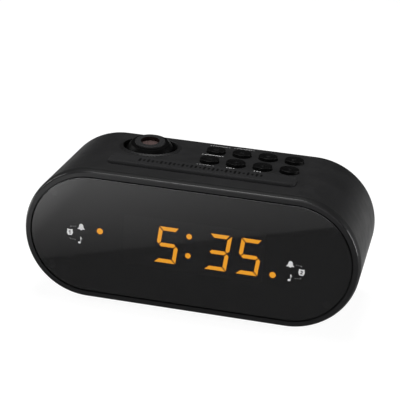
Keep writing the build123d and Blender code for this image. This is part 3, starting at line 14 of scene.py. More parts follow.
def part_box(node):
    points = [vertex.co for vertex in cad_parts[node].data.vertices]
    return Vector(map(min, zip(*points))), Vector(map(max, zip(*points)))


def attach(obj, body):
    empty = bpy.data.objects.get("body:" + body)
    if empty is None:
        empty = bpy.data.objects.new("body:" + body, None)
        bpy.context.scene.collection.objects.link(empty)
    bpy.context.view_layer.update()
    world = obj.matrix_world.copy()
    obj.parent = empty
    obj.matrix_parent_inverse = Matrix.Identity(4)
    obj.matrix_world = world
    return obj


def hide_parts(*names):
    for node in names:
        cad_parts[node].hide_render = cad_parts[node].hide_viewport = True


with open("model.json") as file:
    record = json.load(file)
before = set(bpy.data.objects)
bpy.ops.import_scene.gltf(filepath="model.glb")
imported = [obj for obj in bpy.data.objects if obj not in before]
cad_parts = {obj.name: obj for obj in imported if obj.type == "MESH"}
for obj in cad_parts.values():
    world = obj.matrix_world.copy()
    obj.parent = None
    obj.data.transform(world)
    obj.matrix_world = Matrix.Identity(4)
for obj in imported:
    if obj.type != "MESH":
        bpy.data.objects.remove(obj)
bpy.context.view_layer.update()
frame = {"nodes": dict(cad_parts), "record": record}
nodes = frame["nodes"]
MM = 0.001

# ------------------------------------------------------------------ places read from the frame
lens_low, lens_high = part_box("display_lens")
bar_low, bar_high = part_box("snooze_bar")
jack_low, jack_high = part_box("dc_jack")
FRONT_Y = lens_low.y
MID_Z = (lens_low.z + lens_high.z) / 2
TOP_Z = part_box("main_housing")[1].z
CELLS_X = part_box("battery_cells")[0].x


# ================================================================== nodes
class Tree:
    """The nodes of a material or world, and short calls that add to them."""

    def __init__(self, owner):
        owner.use_nodes = True
        self.owner = owner
        self.nodes = owner.node_tree.nodes
        self.links = owner.node_tree.links

    def fill(self, socket, value):
        """Links a socket to another node's output, or gives it a plain value."""
        if isinstance(value, bpy.types.NodeSocket):
            self.links.new(value, socket)
        else:
            socket.default_value = value

    def add(self, kind, inputs=None, **settings):
        """A new node. Its inputs, by name or number, take outputs or plain values."""
        made = self.nodes.new("ShaderNode" + kind)
        for name, value in settings.items():
            setattr(made, name, value)
        for name, value in (inputs or {}).items():
            self.fill(made.inputs[name], value)
        return made

    def join(self, kind, *values, **settings):
        """The first output of a node whose first inputs are the given values."""
        return self.add(kind, dict(enumerate(values)), **settings).outputs[0]

    def math(self, operation, *values):
        return self.join("Math", *values, operation=operation)

    def vector(self, operation, *values):
        return self.join("VectorMath", *values, operation=operation)

    def measure(self, operation, *values):
        """A number that comes from vectors, such as a length."""
        inputs = dict(enumerate(values))
        return self.add("VectorMath", inputs, operation=operation).outputs["Value"]

    def place(self):
        """Where a point lies, in the frame of the model."""
        return self.add("TexCoord").outputs["Object"]

    def axes(self, vector):
        """The outputs X, Y and Z of a vector, by name."""
        return self.add("SeparateXYZ", {"Vector": vector}).outputs

    def ranged(self, value, start, end, low=0.0, high=1.0):
        """Maps the range start to end onto low to high. A value beyond it stays at its end."""
        inputs = {"Value": value, "From Min": start, "From Max": end, "To Min": low, "To Max": high}
        return self.add("MapRange", inputs).outputs["Result"]

    def mixed(self, factor, first, second):
        return self.add("Mix", {"Factor": factor, "A": first, "B": second}).outputs["Result"]

    def shades(self, value, stops):
        """A colour ramp over value. Each stop is (place, colour) or (place, grey level)."""
        ramp = self.add("ValToRGB", {"Fac": value})
        elements = ramp.color_ramp.elements
        while len(elements) < len(stops):
            elements.new(0.5)
        for element, (place, color) in zip(elements, stops):
            element.position = place
            element.color = (*(color if isinstance(color, tuple) else (color,) * 3), 1.0)
        return ramp.outputs["Color"]


SHADE_RANGE, ROUGH_RANGE = (0.35, 0.65), (0.3, 0.7)     # of a noise's values, for colour, roughness


class Finish(Tree):
    """A new material with a Principled shader."""

    def __init__(self, name, color, roughness, specular=0.5, **sockets):
        super().__init__(bpy.data.materials.new(name))
        self.put("Base Color", (*color, 1.0))
        self.put("Roughness", roughness)
        self.put("Specular IOR Level", specular)
        for socket, value in sockets.items():
            self.put(socket.replace("_", " "), value)

    def put(self, socket, value):
        self.fill(self.nodes["Principled BSDF"].inputs[socket], value)
        return self

    def noise(self, size, detail=3.0, stretch=(1, 1, 1)):
        """Noise with features of about size metres, drawn out along the axes by stretch."""
        scale = [1 / (size * times) for times in stretch]
        scaled = self.add("Mapping", {"Vector": self.place(), "Scale": scale}).outputs["Vector"]
        inputs = {"Vector": scaled, "Scale": 1.0, "Detail": detail}
        return self.add("TexNoise", inputs).outputs["Fac"]

    def vary(self, size, dark, light, **noise):
        """Lets the colour drift between two shades."""
        stops = zip(SHADE_RANGE, (dark, light))
        return self.put("Base Color", self.shades(self.noise(size, **noise), tuple(stops)))

    def rough(self, size, low, high, **noise):
        """Lets the roughness drift between two values."""
        drift = self.ranged(self.noise(size, **noise), *ROUGH_RANGE, low, high)
        return self.put("Roughness", drift)

    def bump(self, height, depth):
        """Relief of the given depth in metres."""
        relief = self.add("Bump", {"Height": height, "Distance": depth})
        return self.put("Normal", relief.outputs["Normal"])


# ================================================================== materials
def grey(level, blue=1.04):
    """A near-neutral colour, a little cool as black plastic is."""
    return (level, level, level * blue)


def grained(name, level, roughness, specular, depth, grain=0.25):
    """Black plastic with a moulded grain. Its depth and size are in millimetres."""
    finish = Finish(name, grey(level), roughness, specular)
    return finish.bump(finish.noise(grain * MM, detail=2.0), depth * MM)


SHADE_SIZE, SHADE_DRIFT = 26 * MM, 0.10
GLOSS_SIZE, GLOSS_DRIFT = 9 * MM, (-0.04, 0.05)


def uneven(finish, roughness):
    """Lets the roughness of a moulded finish drift a little."""
    return finish.rough(GLOSS_SIZE, *(roughness + drift for drift in GLOSS_DRIFT))


def moulded(name, level, roughness, specular, depth, **grain):
    """Grained black plastic with faint drifts of shade and gloss."""
    finish = grained(name, level, roughness, specular, depth, **grain)
    finish.vary(SHADE_SIZE, grey(level * (1 - SHADE_DRIFT)), grey(level * (1 + SHADE_DRIFT)))
    return uneven(finish, roughness)


BLACKS = {          # colour level, roughness, specular level, depth of the grain
    "housing_black": (0.012, 0.50, 0.28, 0.012),
    "cover_black": (0.016, 0.52, 0.26, 0.012),
    "bezel_black": (0.014, 0.35, 0.25, 0.003),
    "button_black": (0.0025, 0.42, 0.10, 0.004),
    "bar_black": (0.019, 0.66, 0.10, 0.006),
    "head_black": (0.0025, 0.42, 0.05, 0.005),
    "display_black": (0.003, 0.60, 0.10, 0.012),
    "chip_black": (0.014, 0.60, 0.30, 0.012),
    "socket_black": (0.010, 0.30, 0.50, 0.004),
    "raised_mark": (0.013, 0.50, 0.15, 0.004),
    # The snooze bar's ribs are painted much darker than the bar: painted shade of their raised
    # sides.
    "bar_mark_painted_shade": (0.003, 0.50, 0.08, 0.004)}


def magnet_black(name):
    return moulded(name, 0.03, 0.55, 0.4, 0.012, grain=0.5)


# The bezel's ramps run over the outer 5 mm of its front: the seat of the lens, the rim, the side.
RIM_SPAN = 5 * MM
# Its colours hold painted shade: near black where the lens is seated, a painted shadow in the
# groove, and darker on the side than on the rim.
RIM_TONE_AND_PAINTED_SHADE = ((0.10, grey(0.003)), (0.20, grey(0.015)), (0.81, grey(0.015)), (0.83, grey(0.010)))
RIM_ROUGHNESS = ((0.815, 0.26), (0.835, 0.55))
RIM_COAT = ((0.68, 0.0), (0.76, 0.55), (0.815, 0.55), (0.83, 0.0))


def rim_black():
    """The bezel's finish: painted shade in the groove under the lens, satin on the rim, and like
    the housing beyond, on a side painted a little darker as shade.
    """
    low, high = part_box("front_bezel")
    radius = (high.z - low.z) / 2
    finish = grained("rim_black", 0.012, 0.27, 0.14, 0.003)
    place = finish.axes(finish.place())
    end_x = high.x - radius                         # where the straight part meets the round end
    along = finish.math("MAXIMUM", finish.math("ABSOLUTE", place["X"]), end_x)
    offset = finish.add("CombineXYZ", {"X": finish.math("SUBTRACT", along, end_x),
                                       "Z": finish.math("SUBTRACT", place["Z"], MID_Z)})
    distance = finish.measure("LENGTH", offset.outputs["Vector"])
    rim = finish.ranged(distance, radius - RIM_SPAN, radius)
    finish.put("Base Color", finish.shades(rim, RIM_TONE_AND_PAINTED_SHADE))
    finish.put("Roughness", finish.shades(rim, RIM_ROUGHNESS))
    finish.put("Coat Weight", finish.shades(rim, RIM_COAT))
    return finish.put("Coat Roughness", 0.20)


BORE = 5.7          # radius of the hole in the focus ring, in millimetres
BORE_EDGE = (0.02, 0.12)                            # beyond it the colour changes over this
# The bore's dark red is a painted glow of the red lamp.
BORE_PAINTED_GLOW = (0.007, 0.0025, 0.002)
RING_LEVEL, RING_ROUGHNESS = 0.019, 0.50


def ring_black():
    """The focus ring's finish: a satin top, and a bore painted dark red as a glow of the red lamp.
    """
    joints = {joint["name"]: joint for joint in frame["record"]["behaviour"]["joints"]}
    joint = joints["focus_turn"]
    finish = grained("ring_black", RING_LEVEL, RING_ROUGHNESS, 0.15, 0.005)
    uneven(finish, RING_ROUGHNESS)
    offset = finish.vector("SUBTRACT", finish.place(), joint["pos_m"])
    radius = finish.measure("LENGTH", finish.vector("CROSS_PRODUCT", offset, joint["axis"]))
    outside = finish.ranged(radius, *((BORE + edge) * MM for edge in BORE_EDGE))
    stops = ((0.0, BORE_PAINTED_GLOW), (1.0, grey(RING_LEVEL)))
    return finish.put("Base Color", finish.shades(outside, stops))


# A painted highlight along the lens's upper edge: how pale it is at each depth in millimetres
# behind the face, and how high above the lens's middle it begins and is full.
EDGE_HIGHLIGHT = ((0.02, 0.0), (0.06, 1.0), (0.17, 1.0), (0.22, 0.0))
HIGHLIGHT_RISE = (18 * MM, 30 * MM)
SMOKE_LEVEL, HIGHLIGHT_LEVEL = 0.008, 0.35


def lens_smoked(name):
    """Smoked acrylic, with a painted highlight along its upper edge."""
    finish = Finish(name, grey(SMOKE_LEVEL), 0.03, Alpha=0.75, IOR=1.49)
    place = finish.axes(finish.place())
    highlight = finish.shades(finish.ranged(place["Y"], FRONT_Y, FRONT_Y + 1 * MM), EDGE_HIGHLIGHT)
    upper = finish.ranged(place["Z"], *(MID_Z + rise for rise in HIGHLIGHT_RISE))
    stops = ((0.0, grey(SMOKE_LEVEL)), (1.0, grey(HIGHLIGHT_LEVEL)))
    finish.put("Base Color", finish.shades(finish.math("MULTIPLY", highlight, upper), stops))
    return finish.rough(35 * MM, 0.02, 0.045)


def lens_clear(name):
    # The faint red tint of this pale lens is a painted glow of the red lamp behind it.
    finish = Finish(name, (0.15, 0.105, 0.10), 0.08, 0.6, Alpha=0.80, IOR=1.52)
    return finish.vary(4 * MM, (0.135, 0.095, 0.09), (0.165, 0.115, 0.11))


def led_dark(name):
    finish = Finish(name, (0.012, 0.010, 0.009), 0.5, 0.3)
    return finish.vary(1.5 * MM, (0.010, 0.009, 0.008), (0.015, 0.012, 0.010))


GLOW = 11.8         # bright enough to read through the smoked lens
AMBER = ((0.0, (0.60, 0.15, 0.003)), (0.5, (0.95, 0.36, 0.012)), (1.0, (1.0, 0.42, 0.020)))


def led_amber(name):
    """A diffuser lit from behind. The attribute "core" runs from 0 at its edge to 1 inside."""
    finish = Finish(name, (0.5, 0.2, 0.02), 0.5, 0.2, Emission_Strength=GLOW)
    core = finish.add("Attribute", attribute_name="core").outputs["Fac"]
    return finish.put("Emission Color", finish.shades(core, AMBER))


def led_red(name, strength=2.0):
    finish = Finish(name, (0.5, 0.03, 0.02), 0.3, Emission_Strength=strength)
    finish.put("Emission Color", (1.0, 0.08, 0.04, 1.0))
    return finish.vary(2 * MM, (0.45, 0.02, 0.015), (0.6, 0.04, 0.03))


def board_green(name):
    finish = Finish(name, (0.01, 0.11, 0.04), 0.35)
    finish.vary(3 * MM, (0.008, 0.09, 0.032), (0.014, 0.14, 0.05), stretch=(4, 1, 1))
    return finish.bump(finish.noise(0.8 * MM), 0.02 * MM)


def can_tin(name):
    finish = Finish(name, (0.62, 0.62, 0.63), 0.3, Metallic=1.0)
    return finish.rough(2 * MM, 0.22, 0.4, stretch=(6, 1, 1))


def plug_cream(name):
    finish = Finish(name, (0.62, 0.56, 0.45), 0.45)
    return finish.vary(5 * MM, (0.58, 0.52, 0.41), (0.66, 0.60, 0.49))


WIRE_PITCH = 1.27 * MM
WIRE_PAINTED_SHADE = ((0.2, (0.20, 0.20, 0.22)), (0.6, (0.36, 0.36, 0.38)))


def ribbon_grey(name):
    """A flat cable of round wires side by side."""
    finish = Finish(name, (0.32, 0.32, 0.34), 0.5, 0.4)
    inputs = {"Vector": finish.place(), "Scale": math.pi / (10 * WIRE_PITCH)}
    wires = finish.add("TexWave", inputs, bands_direction="X", wave_profile="SIN")
    ridge = wires.outputs["Fac"]
    # Darker in the grooves between the wires than on them: painted shade.
    finish.put("Base Color", finish.shades(ridge, WIRE_PAINTED_SHADE))
    return finish.bump(ridge, 0.2 * MM)


STEELS = {"screw_steel": (0.24, 0.38), "spring_steel": (0.55, 0.30), "contact_plated": (0.72, 0.20)}


def steel(name, level, roughness):
    finish = Finish(name, (level, level, level * 1.02), roughness, Metallic=1.0)
    return finish.rough(0.8 * MM, roughness - 0.08, roughness + 0.1, stretch=(8, 1, 1))


CAP_BAND, CAP_EDGE = 12 * MM, 0.1 * MM      # the copper band at one end of a cell, and its blur
CAP_SHADES = ((0.2, (0.42, 0.22, 0.06)), (0.8, (0.03, 0.03, 0.035)))


def cell_jacket(name):
    finish = Finish(name, (0.03, 0.03, 0.035), 0.3)
    edge = CELLS_X + CAP_BAND
    band = finish.ranged(finish.axes(finish.place())["X"], edge, edge + CAP_EDGE)
    finish.put("Base Color", finish.shades(band, CAP_SHADES))
    return finish.rough(4 * MM, 0.25, 0.38)


def rubber_black(name):
    finish = Finish(name, grey(0.012), 0.85, 0.2)
    finish.vary(5 * MM, grey(0.010), grey(0.015))
    return finish.bump(finish.noise(0.4 * MM), 0.03 * MM)


def cone_paper(name):
    finish = Finish(name, grey(0.02), 0.9, 0.1)
    finish.vary(2 * MM, grey(0.016), grey(0.026))
    return finish.bump(finish.noise(0.5 * MM, detail=5.0), 0.08 * MM)


def sleeve_white(name):
    finish = Finish(name, (0.6, 0.6, 0.58), 0.5, 0.4)
    return finish.vary(4 * MM, (0.56, 0.56, 0.54), (0.64, 0.64, 0.62))


INKS = {"ink_white": 0.86, "ink_dim": 0.50, "ink_grey": 0.30}


def ink(name, level):
    """Screen-printed ink, a little uneven."""
    finish = Finish(name, (level,) * 3, 0.6, 0.2)
    return finish.vary(0.6 * MM, (level * 0.88,) * 3, (level * 1.08,) * 3)


MATERIALS = {name: moulded(name, *look).owner for name, look in BLACKS.items()}
MATERIALS |= {name: steel(name, *look).owner for name, look in STEELS.items()}
MATERIALS |= {name: ink(name, level).owner for name, level in INKS.items()}
MATERIALS |= {make.__name__: make(make.__name__).owner for make in (
    magnet_black, lens_smoked, lens_clear, led_amber, led_red, led_dark, board_green, can_tin,
    plug_cream, ribbon_grey, cell_jacket, rubber_black, cone_paper, sleeve_white)}


def dress_nodes():
    for part in frame["record"]["subparts"]:
        materials = nodes[part["node"]].data.materials
        materials.clear()
        materials.append(MATERIALS[part["material_slot"]])
    # The projector's LCD is no lamp: its red emission is a painted glow.
    nodes["projector_lcd"].data.materials[0] = led_red("lcd_painted_glow", 0.9).owner
    nodes["focus_ring"].data.materials[0] = ring_black().owner
    nodes["front_bezel"].data.materials[0] = rim_black().owner


# ================================================================== flat marks
def arc(x, y, radius, start, end, steps=12, squash=1.0):
    """Points from one angle to another, in degrees."""
    angles = [math.radians(start + (end - start) * i / steps) for i in range(steps + 1)]
    return [(x + radius * math.cos(a), y + squash * radius * math.sin(a)) for a in angles]


def disc(x, y, radius, steps=24):
    return arc(x, y, radius, 0, 360 - 360 / steps, steps - 1)


def stroke(x0, y0, x1, y1, width):
    """A straight line of the given width."""
    length = math.hypot(x1 - x0, y1 - y0)
    nx, ny = -(y1 - y0) / length * width / 2, (x1 - x0) / length * width / 2
    return [(x0 + nx, y0 + ny), (x0 - nx, y0 - ny), (x1 - nx, y1 - ny), (x1 + nx, y1 + ny)]


def moved(outlines, x, y):
    return [[(x + px, y + py) for px, py in outline] for outline in outlines]


JOIN_WITHIN = 0.001 * MM        # points closer than this are one


def shown(name, mesh):
    piece = bpy.data.objects.new(name, mesh)
    bpy.context.scene.collection.objects.link(piece)
    return piece


def solid_piece(name, mesh):
    """An object of a closed mesh, with its doubled points joined and its faces turned outwards."""
    made = bmesh.new()
    made.from_mesh(mesh)
    bmesh.ops.remove_doubles(made, verts=made.verts, dist=JOIN_WITHIN)
    bmesh.ops.recalc_face_normals(made, faces=made.faces)
    made.to_mesh(mesh)
    made.free()
    return shown(name, mesh)


def plate(name, outlines, to_frame, root, proud):
    """A thin solid of closed outlines, where one inside another is a hole.

    It reaches from root to proud above the surface that carries it. to_frame takes X, Y and the
    height above that surface to the model's frame.
    """
    curve = bpy.data.curves.new(name, "CURVE")
    curve.dimensions = "2D"
    curve.fill_mode = "BOTH"
    curve.extrude = (proud - root) / 2
    for outline in outlines:
        spline = curve.splines.new("POLY")
        spline.points.add(len(outline) - 1)
        for point, (x, y) in zip(spline.points, outline):
            point.co = (x, y, 0, 1)
        spline.use_cyclic_u = True
    source = bpy.data.objects.new(name, curve)
    mesh = bpy.data.meshes.new_from_object(source)
    bpy.data.objects.remove(source)
    bpy.data.curves.remove(curve)
    mesh.name = name
    middle = (proud + root) / 2
    for vertex in mesh.vertices:
        x, y, height = vertex.co
        vertex.co = to_frame(x * MM, y * MM, (height + middle) * MM)
    return solid_piece(name, mesh)


def finished(piece, material, body):
    piece.data.materials.append(MATERIALS[material])
    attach(piece, body)
    return piece


def on_lens(x, y, height):
    """X and Y from the middle of the lens, and the height out of its face."""
    return (x, FRONT_Y - height, MID_Z + y)


def on_top(x, y, height):
    return (x, y, TOP_Z + height)


# ------------------------------------------------------------------ pictograms
def bell():
    """A bell with its clapper, 4.6 wide and 4 high."""
    return [arc(0, 0.45, 1.3, 0, 180, 14) +
            [(-1.42, -0.35), (-1.75, -0.95), (-2.3, -1.4), (-2.3, -1.7), (-0.6, -1.7)] +
            arc(0, -1.7, 0.6, 180, 360, 8)[1:-1] +
            [(0.6, -1.7), (2.3, -1.7), (2.3, -1.4), (1.75, -0.95), (1.42, -0.35)]]


def note():
    """An eighth note, 4.3 high."""
    head = arc(-0.35, -1.5, 0.85, 0, -315, 18, squash=0.78)
    return [head + [(0.1, 2.15), (0.5, 2.15), (0.62, 1.65), (1.0, 1.25), (1.15, 0.75), (1.05, 0.3),
                    (0.85, 0.3), (0.88, 0.7), (0.72, 0.95), (0.5, 1.05)]]


NUMERALS = {
    1: [(-0.2, -1.1), (0.34, -1.1), (0.34, 1.1), (-0.06, 1.1), (-0.66, 0.62), (-0.46, 0.22),
        (-0.2, 0.42)],
    2: [(-0.74, -1.1), (0.78, -1.1), (0.78, -0.62), (0.02, -0.62), (0.66, 0.05), (0.76, 0.58),
        (0.5, 1.0), (0.0, 1.14), (-0.5, 1.0), (-0.76, 0.56), (-0.28, 0.4), (-0.05, 0.66),
        (0.22, 0.48), (0.14, 0.14), (-0.74, -0.68)]}
CLOCK_RADIUS = 1.85
CLOCK_LUGS = (              # angle, height, width
    (52, 0.8, 10), (128, 0.8, 10), (240, 0.35, 8), (300, 0.35, 8))


def alarm_clock(number):
    """A clock with two bells and two feet as lugs on its rim. The number is left clear."""
    rim = []
    for degree in range(0, 360, 5):
        angle = math.radians(degree)
        radius = CLOCK_RADIUS + sum(height * math.exp(-((degree - middle) / width) ** 2)
                                    for middle, height, width in CLOCK_LUGS)
        rim.append((radius * math.cos(angle), radius * math.sin(angle)))
    return [rim, NUMERALS[number]]


def dashes(points, dash=0.8, gap=0.5, width=0.24):
    """Dashes along a bent line."""
    made = []
    for (x0, y0), (x1, y1) in zip(points, points[1:]):
        length = math.hypot(x1 - x0, y1 - y0)
        ux, uy = (x1 - x0) / length, (y1 - y0) / length
        start = 0.0
        while start < length - gap:
            end = min(start + dash, length)
            made.append(stroke(x0 + ux * start, y0 + uy * start,
                               x0 + ux * end, y0 + uy * end, width))
            start = end + gap
    return made


INK_ROOT, INK_PROUD = -0.04, 0.02


def printed(name, outlines, to_frame, material):
    piece = plate(name, outlines, to_frame, INK_ROOT, INK_PROUD)
    return finished(piece, material, "case")


BELL_PLACE, NOTE_PLACE = (6.8, 4.35), (6.4, -4.2)       # from the clock, on its right
LINKS = (((0.1, 3.2), (0.3, 3.9), (4.1, 4.2)), ((0.1, -3.2), (0.3, -4.0), (4.3, -4.2)))


def alarm_icons(name, x, y, side, number):
    """A numbered clock joined by dashed lines to a bell above it and a note below it.

    They lie to the right of the clock where side is 1, and to the left where it is -1.
    """
    links = [dash for points in LINKS for dash in dashes([(px * side, py) for px, py in points])]
    for part, outlines, (dx, dy), material in (
            ("clock", alarm_clock(number), (0, 0), "ink_white"),
            ("bell", bell(), BELL_PLACE, "ink_white"),
            ("note", note(), NOTE_PLACE, "ink_white"),
            ("links", links, (0, 0), "ink_grey")):
        printed(f"{name}_{part}", moved(outlines, x + dx * side, y + dy), on_lens, material)


# ------------------------------------------------------------------ lit digits and lamps
RIM_STEPS = ((0.15, 0.03, 0.55), (0.25, 0.03, 1.0))     # inset and rise in millimetres, brightness
FACES_FRONT = -0.99                                     # the Y of such a face's normal is below it
FLAT_WITHIN = 0.01                                      # radians


def lit(name, source):
    """Stands for a CAD node of diffusers. Each front face rises in two steps from its dark rim."""
    made = bmesh.new()
    made.from_mesh(nodes[source].data)
    bmesh.ops.remove_doubles(made, verts=made.verts, dist=JOIN_WITHIN)
    bmesh.ops.dissolve_limit(made, angle_limit=FLAT_WITHIN, verts=made.verts, edges=made.edges)
    core = made.verts.layers.float.new("core")
    faces = [face for face in made.faces if face.normal.y < FACES_FRONT]
    for inset, rise, level in RIM_STEPS:
        bmesh.ops.inset_individual(made, faces=faces, thickness=inset * MM, depth=rise * MM)
        for face in faces:
            for vertex in face.verts:
                vertex[core] = level
    mesh = bpy.data.meshes.new(name)
    made.to_mesh(mesh)
    made.free()
    piece = shown(name, mesh)
    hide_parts(source)
    return finished(piece, "led_amber", "case")


# ------------------------------------------------------------------ marks beside and on the buttons
LINE_WIDTH, DOT_RADIUS, DOT_GAP = 0.45, 0.4, 1.0
TOP_LABELS = (              # from X, to X, at Y: where each printed label lies, and its ink
    (-5.3, 6.4, 34.6, "ink_dim"), (9.6, 21.5, 35.4, "ink_dim"), (-6.5, 5.8, 16.1, "ink_white"),
    (-5.6, 4.0, -3.7, "ink_dim"), (12.4, 16.5, -3.3, "ink_white"), (28.9, 32.4, -2.9, "ink_white"))


def top_labels():
    """Plain printed lines, each with a dot at both ends, that set off the buttons."""
    for number, (x0, x1, y, material) in enumerate(TOP_LABELS, 1):
        outlines = [stroke(x0 + DOT_GAP, y, x1 - DOT_GAP, y, LINE_WIDTH),
                    disc(x0, y, DOT_RADIUS, 12), disc(x1, y, DOT_RADIUS, 12)]
        printed(f"top_label_{number}", outlines, on_top, material)


def chevron(side):
    return [(-0.9 * side, 1.5), (-0.3 * side, 1.5), (0.9 * side, 0), (-0.3 * side, -1.5),
            (-0.9 * side, -1.5), (0.3 * side, 0)]


def plus(arm=1.5, half=0.3):
    return [(-half, arm), (-half, half), (-arm, half), (-arm, -half), (-half, -half), (-half, -arm),
            (half, -arm), (half, -half), (arm, -half), (arm, half), (half, half), (half, arm)]


def crescent():
    return arc(0, 0, 1.6, 60, 300, 16) + arc(0.9, 0, 1.4, 262, 98, 12)


def ring(radius, width):
    return [disc(0, 0, radius), disc(0, 0, radius - width)]


BUTTON_MARKS = {
    "button_front_1": [stroke(-1.5, 0, 1.5, 0, 0.6)],
    "button_front_2": [plus()],
    "button_front_3": [chevron(-1)],
    "button_front_4": [chevron(1)],
    "button_rear_1": ring(1.6, 0.55),
    "button_rear_2": [stroke(-0.7, -1.4, -0.7, 1.4, 0.55), stroke(0.7, -1.4, 0.7, 1.4, 0.55)],
    "button_rear_3": [disc(0, 0, 1.1)],
    "button_rear_4": [crescent()]}
CAP_FLANGE, CAP_RIM, DISH_DEPTH = 1.0 * MM, 0.5 * MM, 0.5 * MM     # of each button's CAD
MARK_ROOT, MARK_PROUD = -0.15, 0.1


def button_marks():
    """Raised marks that follow the dish of each cap."""
    for button, outlines in BUTTON_MARKS.items():
        low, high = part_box(button)
        middle = (low + high) / 2
        rim = (high.x - low.x) / 2 - CAP_FLANGE - CAP_RIM
        dish_radius = (rim ** 2 + DISH_DEPTH ** 2) / (2 * DISH_DEPTH)

        def on_dish(x, y, height):
            rise = dish_radius - math.sqrt(dish_radius ** 2 - x * x - y * y)
            return (middle.x + x, middle.y + y, high.z - DISH_DEPTH + rise + height)

        piece = plate(f"{button}_mark", outlines, on_dish, MARK_ROOT, MARK_PROUD)
        finished(piece, "raised_mark", button)


RIB_PITCH, RIB_START, RIB_END = 2.6, -37.5, 35.7
RIB_HALVES = (2.6, 1.6, 2.6, 2.0, 1.2)          # half lengths along Y, over and over
RIB_RADIUS = 0.6


def snooze_ribs():
    """A row of short raised ribs that the hand finds in the dark."""
    middle_y = (bar_low.y + bar_high.y) / 2
    outlines = []
    for index in range(int((RIB_END - RIB_START) / RIB_PITCH) + 1):
        x, half = RIB_START + index * RIB_PITCH, RIB_HALVES[index % len(RIB_HALVES)]
        outlines.append(arc(x, half - RIB_RADIUS, RIB_RADIUS, 0, 180, 6) +
                        arc(x, RIB_RADIUS - half, RIB_RADIUS, 180, 360, 6))

    def on_bar(x, y, height):
        return (x, middle_y + y, bar_high.z + height)

    piece = plate("snooze_ribs", outlines, on_bar, MARK_ROOT, MARK_PROUD)
    # Their dark colour is painted shade of the raised ribs.
    finished(piece, "bar_mark_painted_shade", "snooze_bar")


# ------------------------------------------------------------------ centre pin of the power socket
PIN_RADIUS, PIN_LENGTH, PIN_SEAT = 1.0, 8.0, 9.5        # the seat lies so deep in the socket
PIN_TIP, PIN_FACETS = 0.7, 28                           # the radius of its end, facets around it
COLLAR_RADIUS, COLLAR_TOP, COLLAR_END = 1.35, 0.8, 1.1  # heights above the seat


def power_pin():
    """A turned pin with a collar and a rounded tip, in the middle of the socket's bore."""
    tip_y = PIN_LENGTH - PIN_SEAT - PIN_TIP
    profile = [(0.0, -PIN_SEAT), (COLLAR_RADIUS, -PIN_SEAT), (COLLAR_RADIUS, COLLAR_TOP - PIN_SEAT),
               (PIN_RADIUS, COLLAR_END - PIN_SEAT), (PIN_RADIUS, tip_y)]
    profile += arc(PIN_RADIUS - PIN_TIP, tip_y, PIN_TIP, 0, 90, 5)[1:]
    profile += [(0.0, PIN_LENGTH - PIN_SEAT)]
    made = bmesh.new()
    points = [made.verts.new((x * MM, y * MM, 0)) for x, y in profile]
    edges = [made.edges.new(pair) for pair in zip(points, points[1:])]
    bmesh.ops.spin(made, geom=points + edges, axis=(0, 1, 0), cent=(0, 0, 0), angle=2 * math.pi,
                   steps=PIN_FACETS, use_merge=True)
    mouth = Vector(((jack_low.x + jack_high.x) / 2, jack_high.y, (jack_low.z + jack_high.z) / 2))
    bmesh.ops.translate(made, verts=made.verts, vec=mouth)
    mesh = bpy.data.meshes.new("power_pin")
    made.to_mesh(mesh)
    made.free()
    piece = solid_piece("power_pin", mesh)
    for face in piece.data.polygons:
        face.use_smooth = True
    finished(piece, "contact_plated", "case")


# ================================================================== studio
CAMERA_AZIMUTH, CAMERA_ELEVATION, CAMERA_ROLL = 11.36, 20.0, 3.90      # degrees
CAMERA_DISTANCE, CAMERA_TARGET = 0.8311, Vector((-0.00325, 0.0006, 0.05745))
CAMERA_LENS, SENSOR = 124.07, 36.0                                     # millimetres
CLIP_START = 0.01


def turned(place, away):
    """A matrix for something at place that looks against the direction away."""
    turn = away.to_track_quat("Z", "Y").to_matrix().to_4x4()
    return Matrix.Translation(place) @ turn


def add_camera():
    azimuth, elevation = math.radians(CAMERA_AZIMUTH), math.radians(CAMERA_ELEVATION)
    away = Vector((math.sin(azimuth) * math.cos(elevation),
                   -math.cos(azimuth) * math.cos(elevation), math.sin(elevation)))
    camera = bpy.data.objects.new("camera", bpy.data.cameras.new("camera"))
    roll = Matrix.Rotation(math.radians(CAMERA_ROLL), 4, "Z")
    camera.matrix_world = turned(CAMERA_TARGET + away * CAMERA_DISTANCE, away) @ roll
    camera.data.lens = CAMERA_LENS
    camera.data.sensor_width = SENSOR
    camera.data.clip_start = CLIP_START
    bpy.context.scene.collection.objects.link(camera)
    bpy.context.scene.camera = camera


LAMPS = (           # name, place, the point it faces, width and height, watts
    ("overhead", (-0.10, 0.20, 1.2), (0, 0, 0.05), (0.55, 0.55), 9.0),
    ("front", (-0.25, -1.55, 0.42), (0, 0, 0.05), (1.5, 0.9), 11.0),
    ("right_side", (1.1, 0.25, 0.25), (0.1, 0, 0.05), (0.5, 0.5), 7.0),
    ("left_side", (-1.0, 0.1, 0.6), (0, 0, 0.05), (0.5, 0.5), 3.0))


def add_lamps():
    for name, place, aim, size, power in LAMPS:
        light = bpy.data.lights.new(name, "AREA")
        light.shape = "RECTANGLE"
        light.size, light.size_y = size
        light.energy = power
        lamp = bpy.data.objects.new(name, light)
        lamp.matrix_world = turned(place, Vector(place) - Vector(aim))
        bpy.context.scene.collection.objects.link(lamp)


AMBIENT_FRONT, AMBIENT = 0.09, 0.03             # soft light from before the clock, and all round
AMBIENT_Y = (-1.0, -0.4)                        # the first fades to the second over these ways
ROOM = 0.01                                     # how bright the room is in a reflection,
HORIZON, HORIZON_Z = 0.06, (0.03, 0.18)         # its paler foot, which ends between these heights,
CEILING, CEILING_WITHIN = 0.6, (0.78, 0.90)     # and its ceiling, by the cosine of the angle from
CEILING_WAY = Vector((-0.1, -0.6, 0.8)).normalized()        # this way, over the viewer


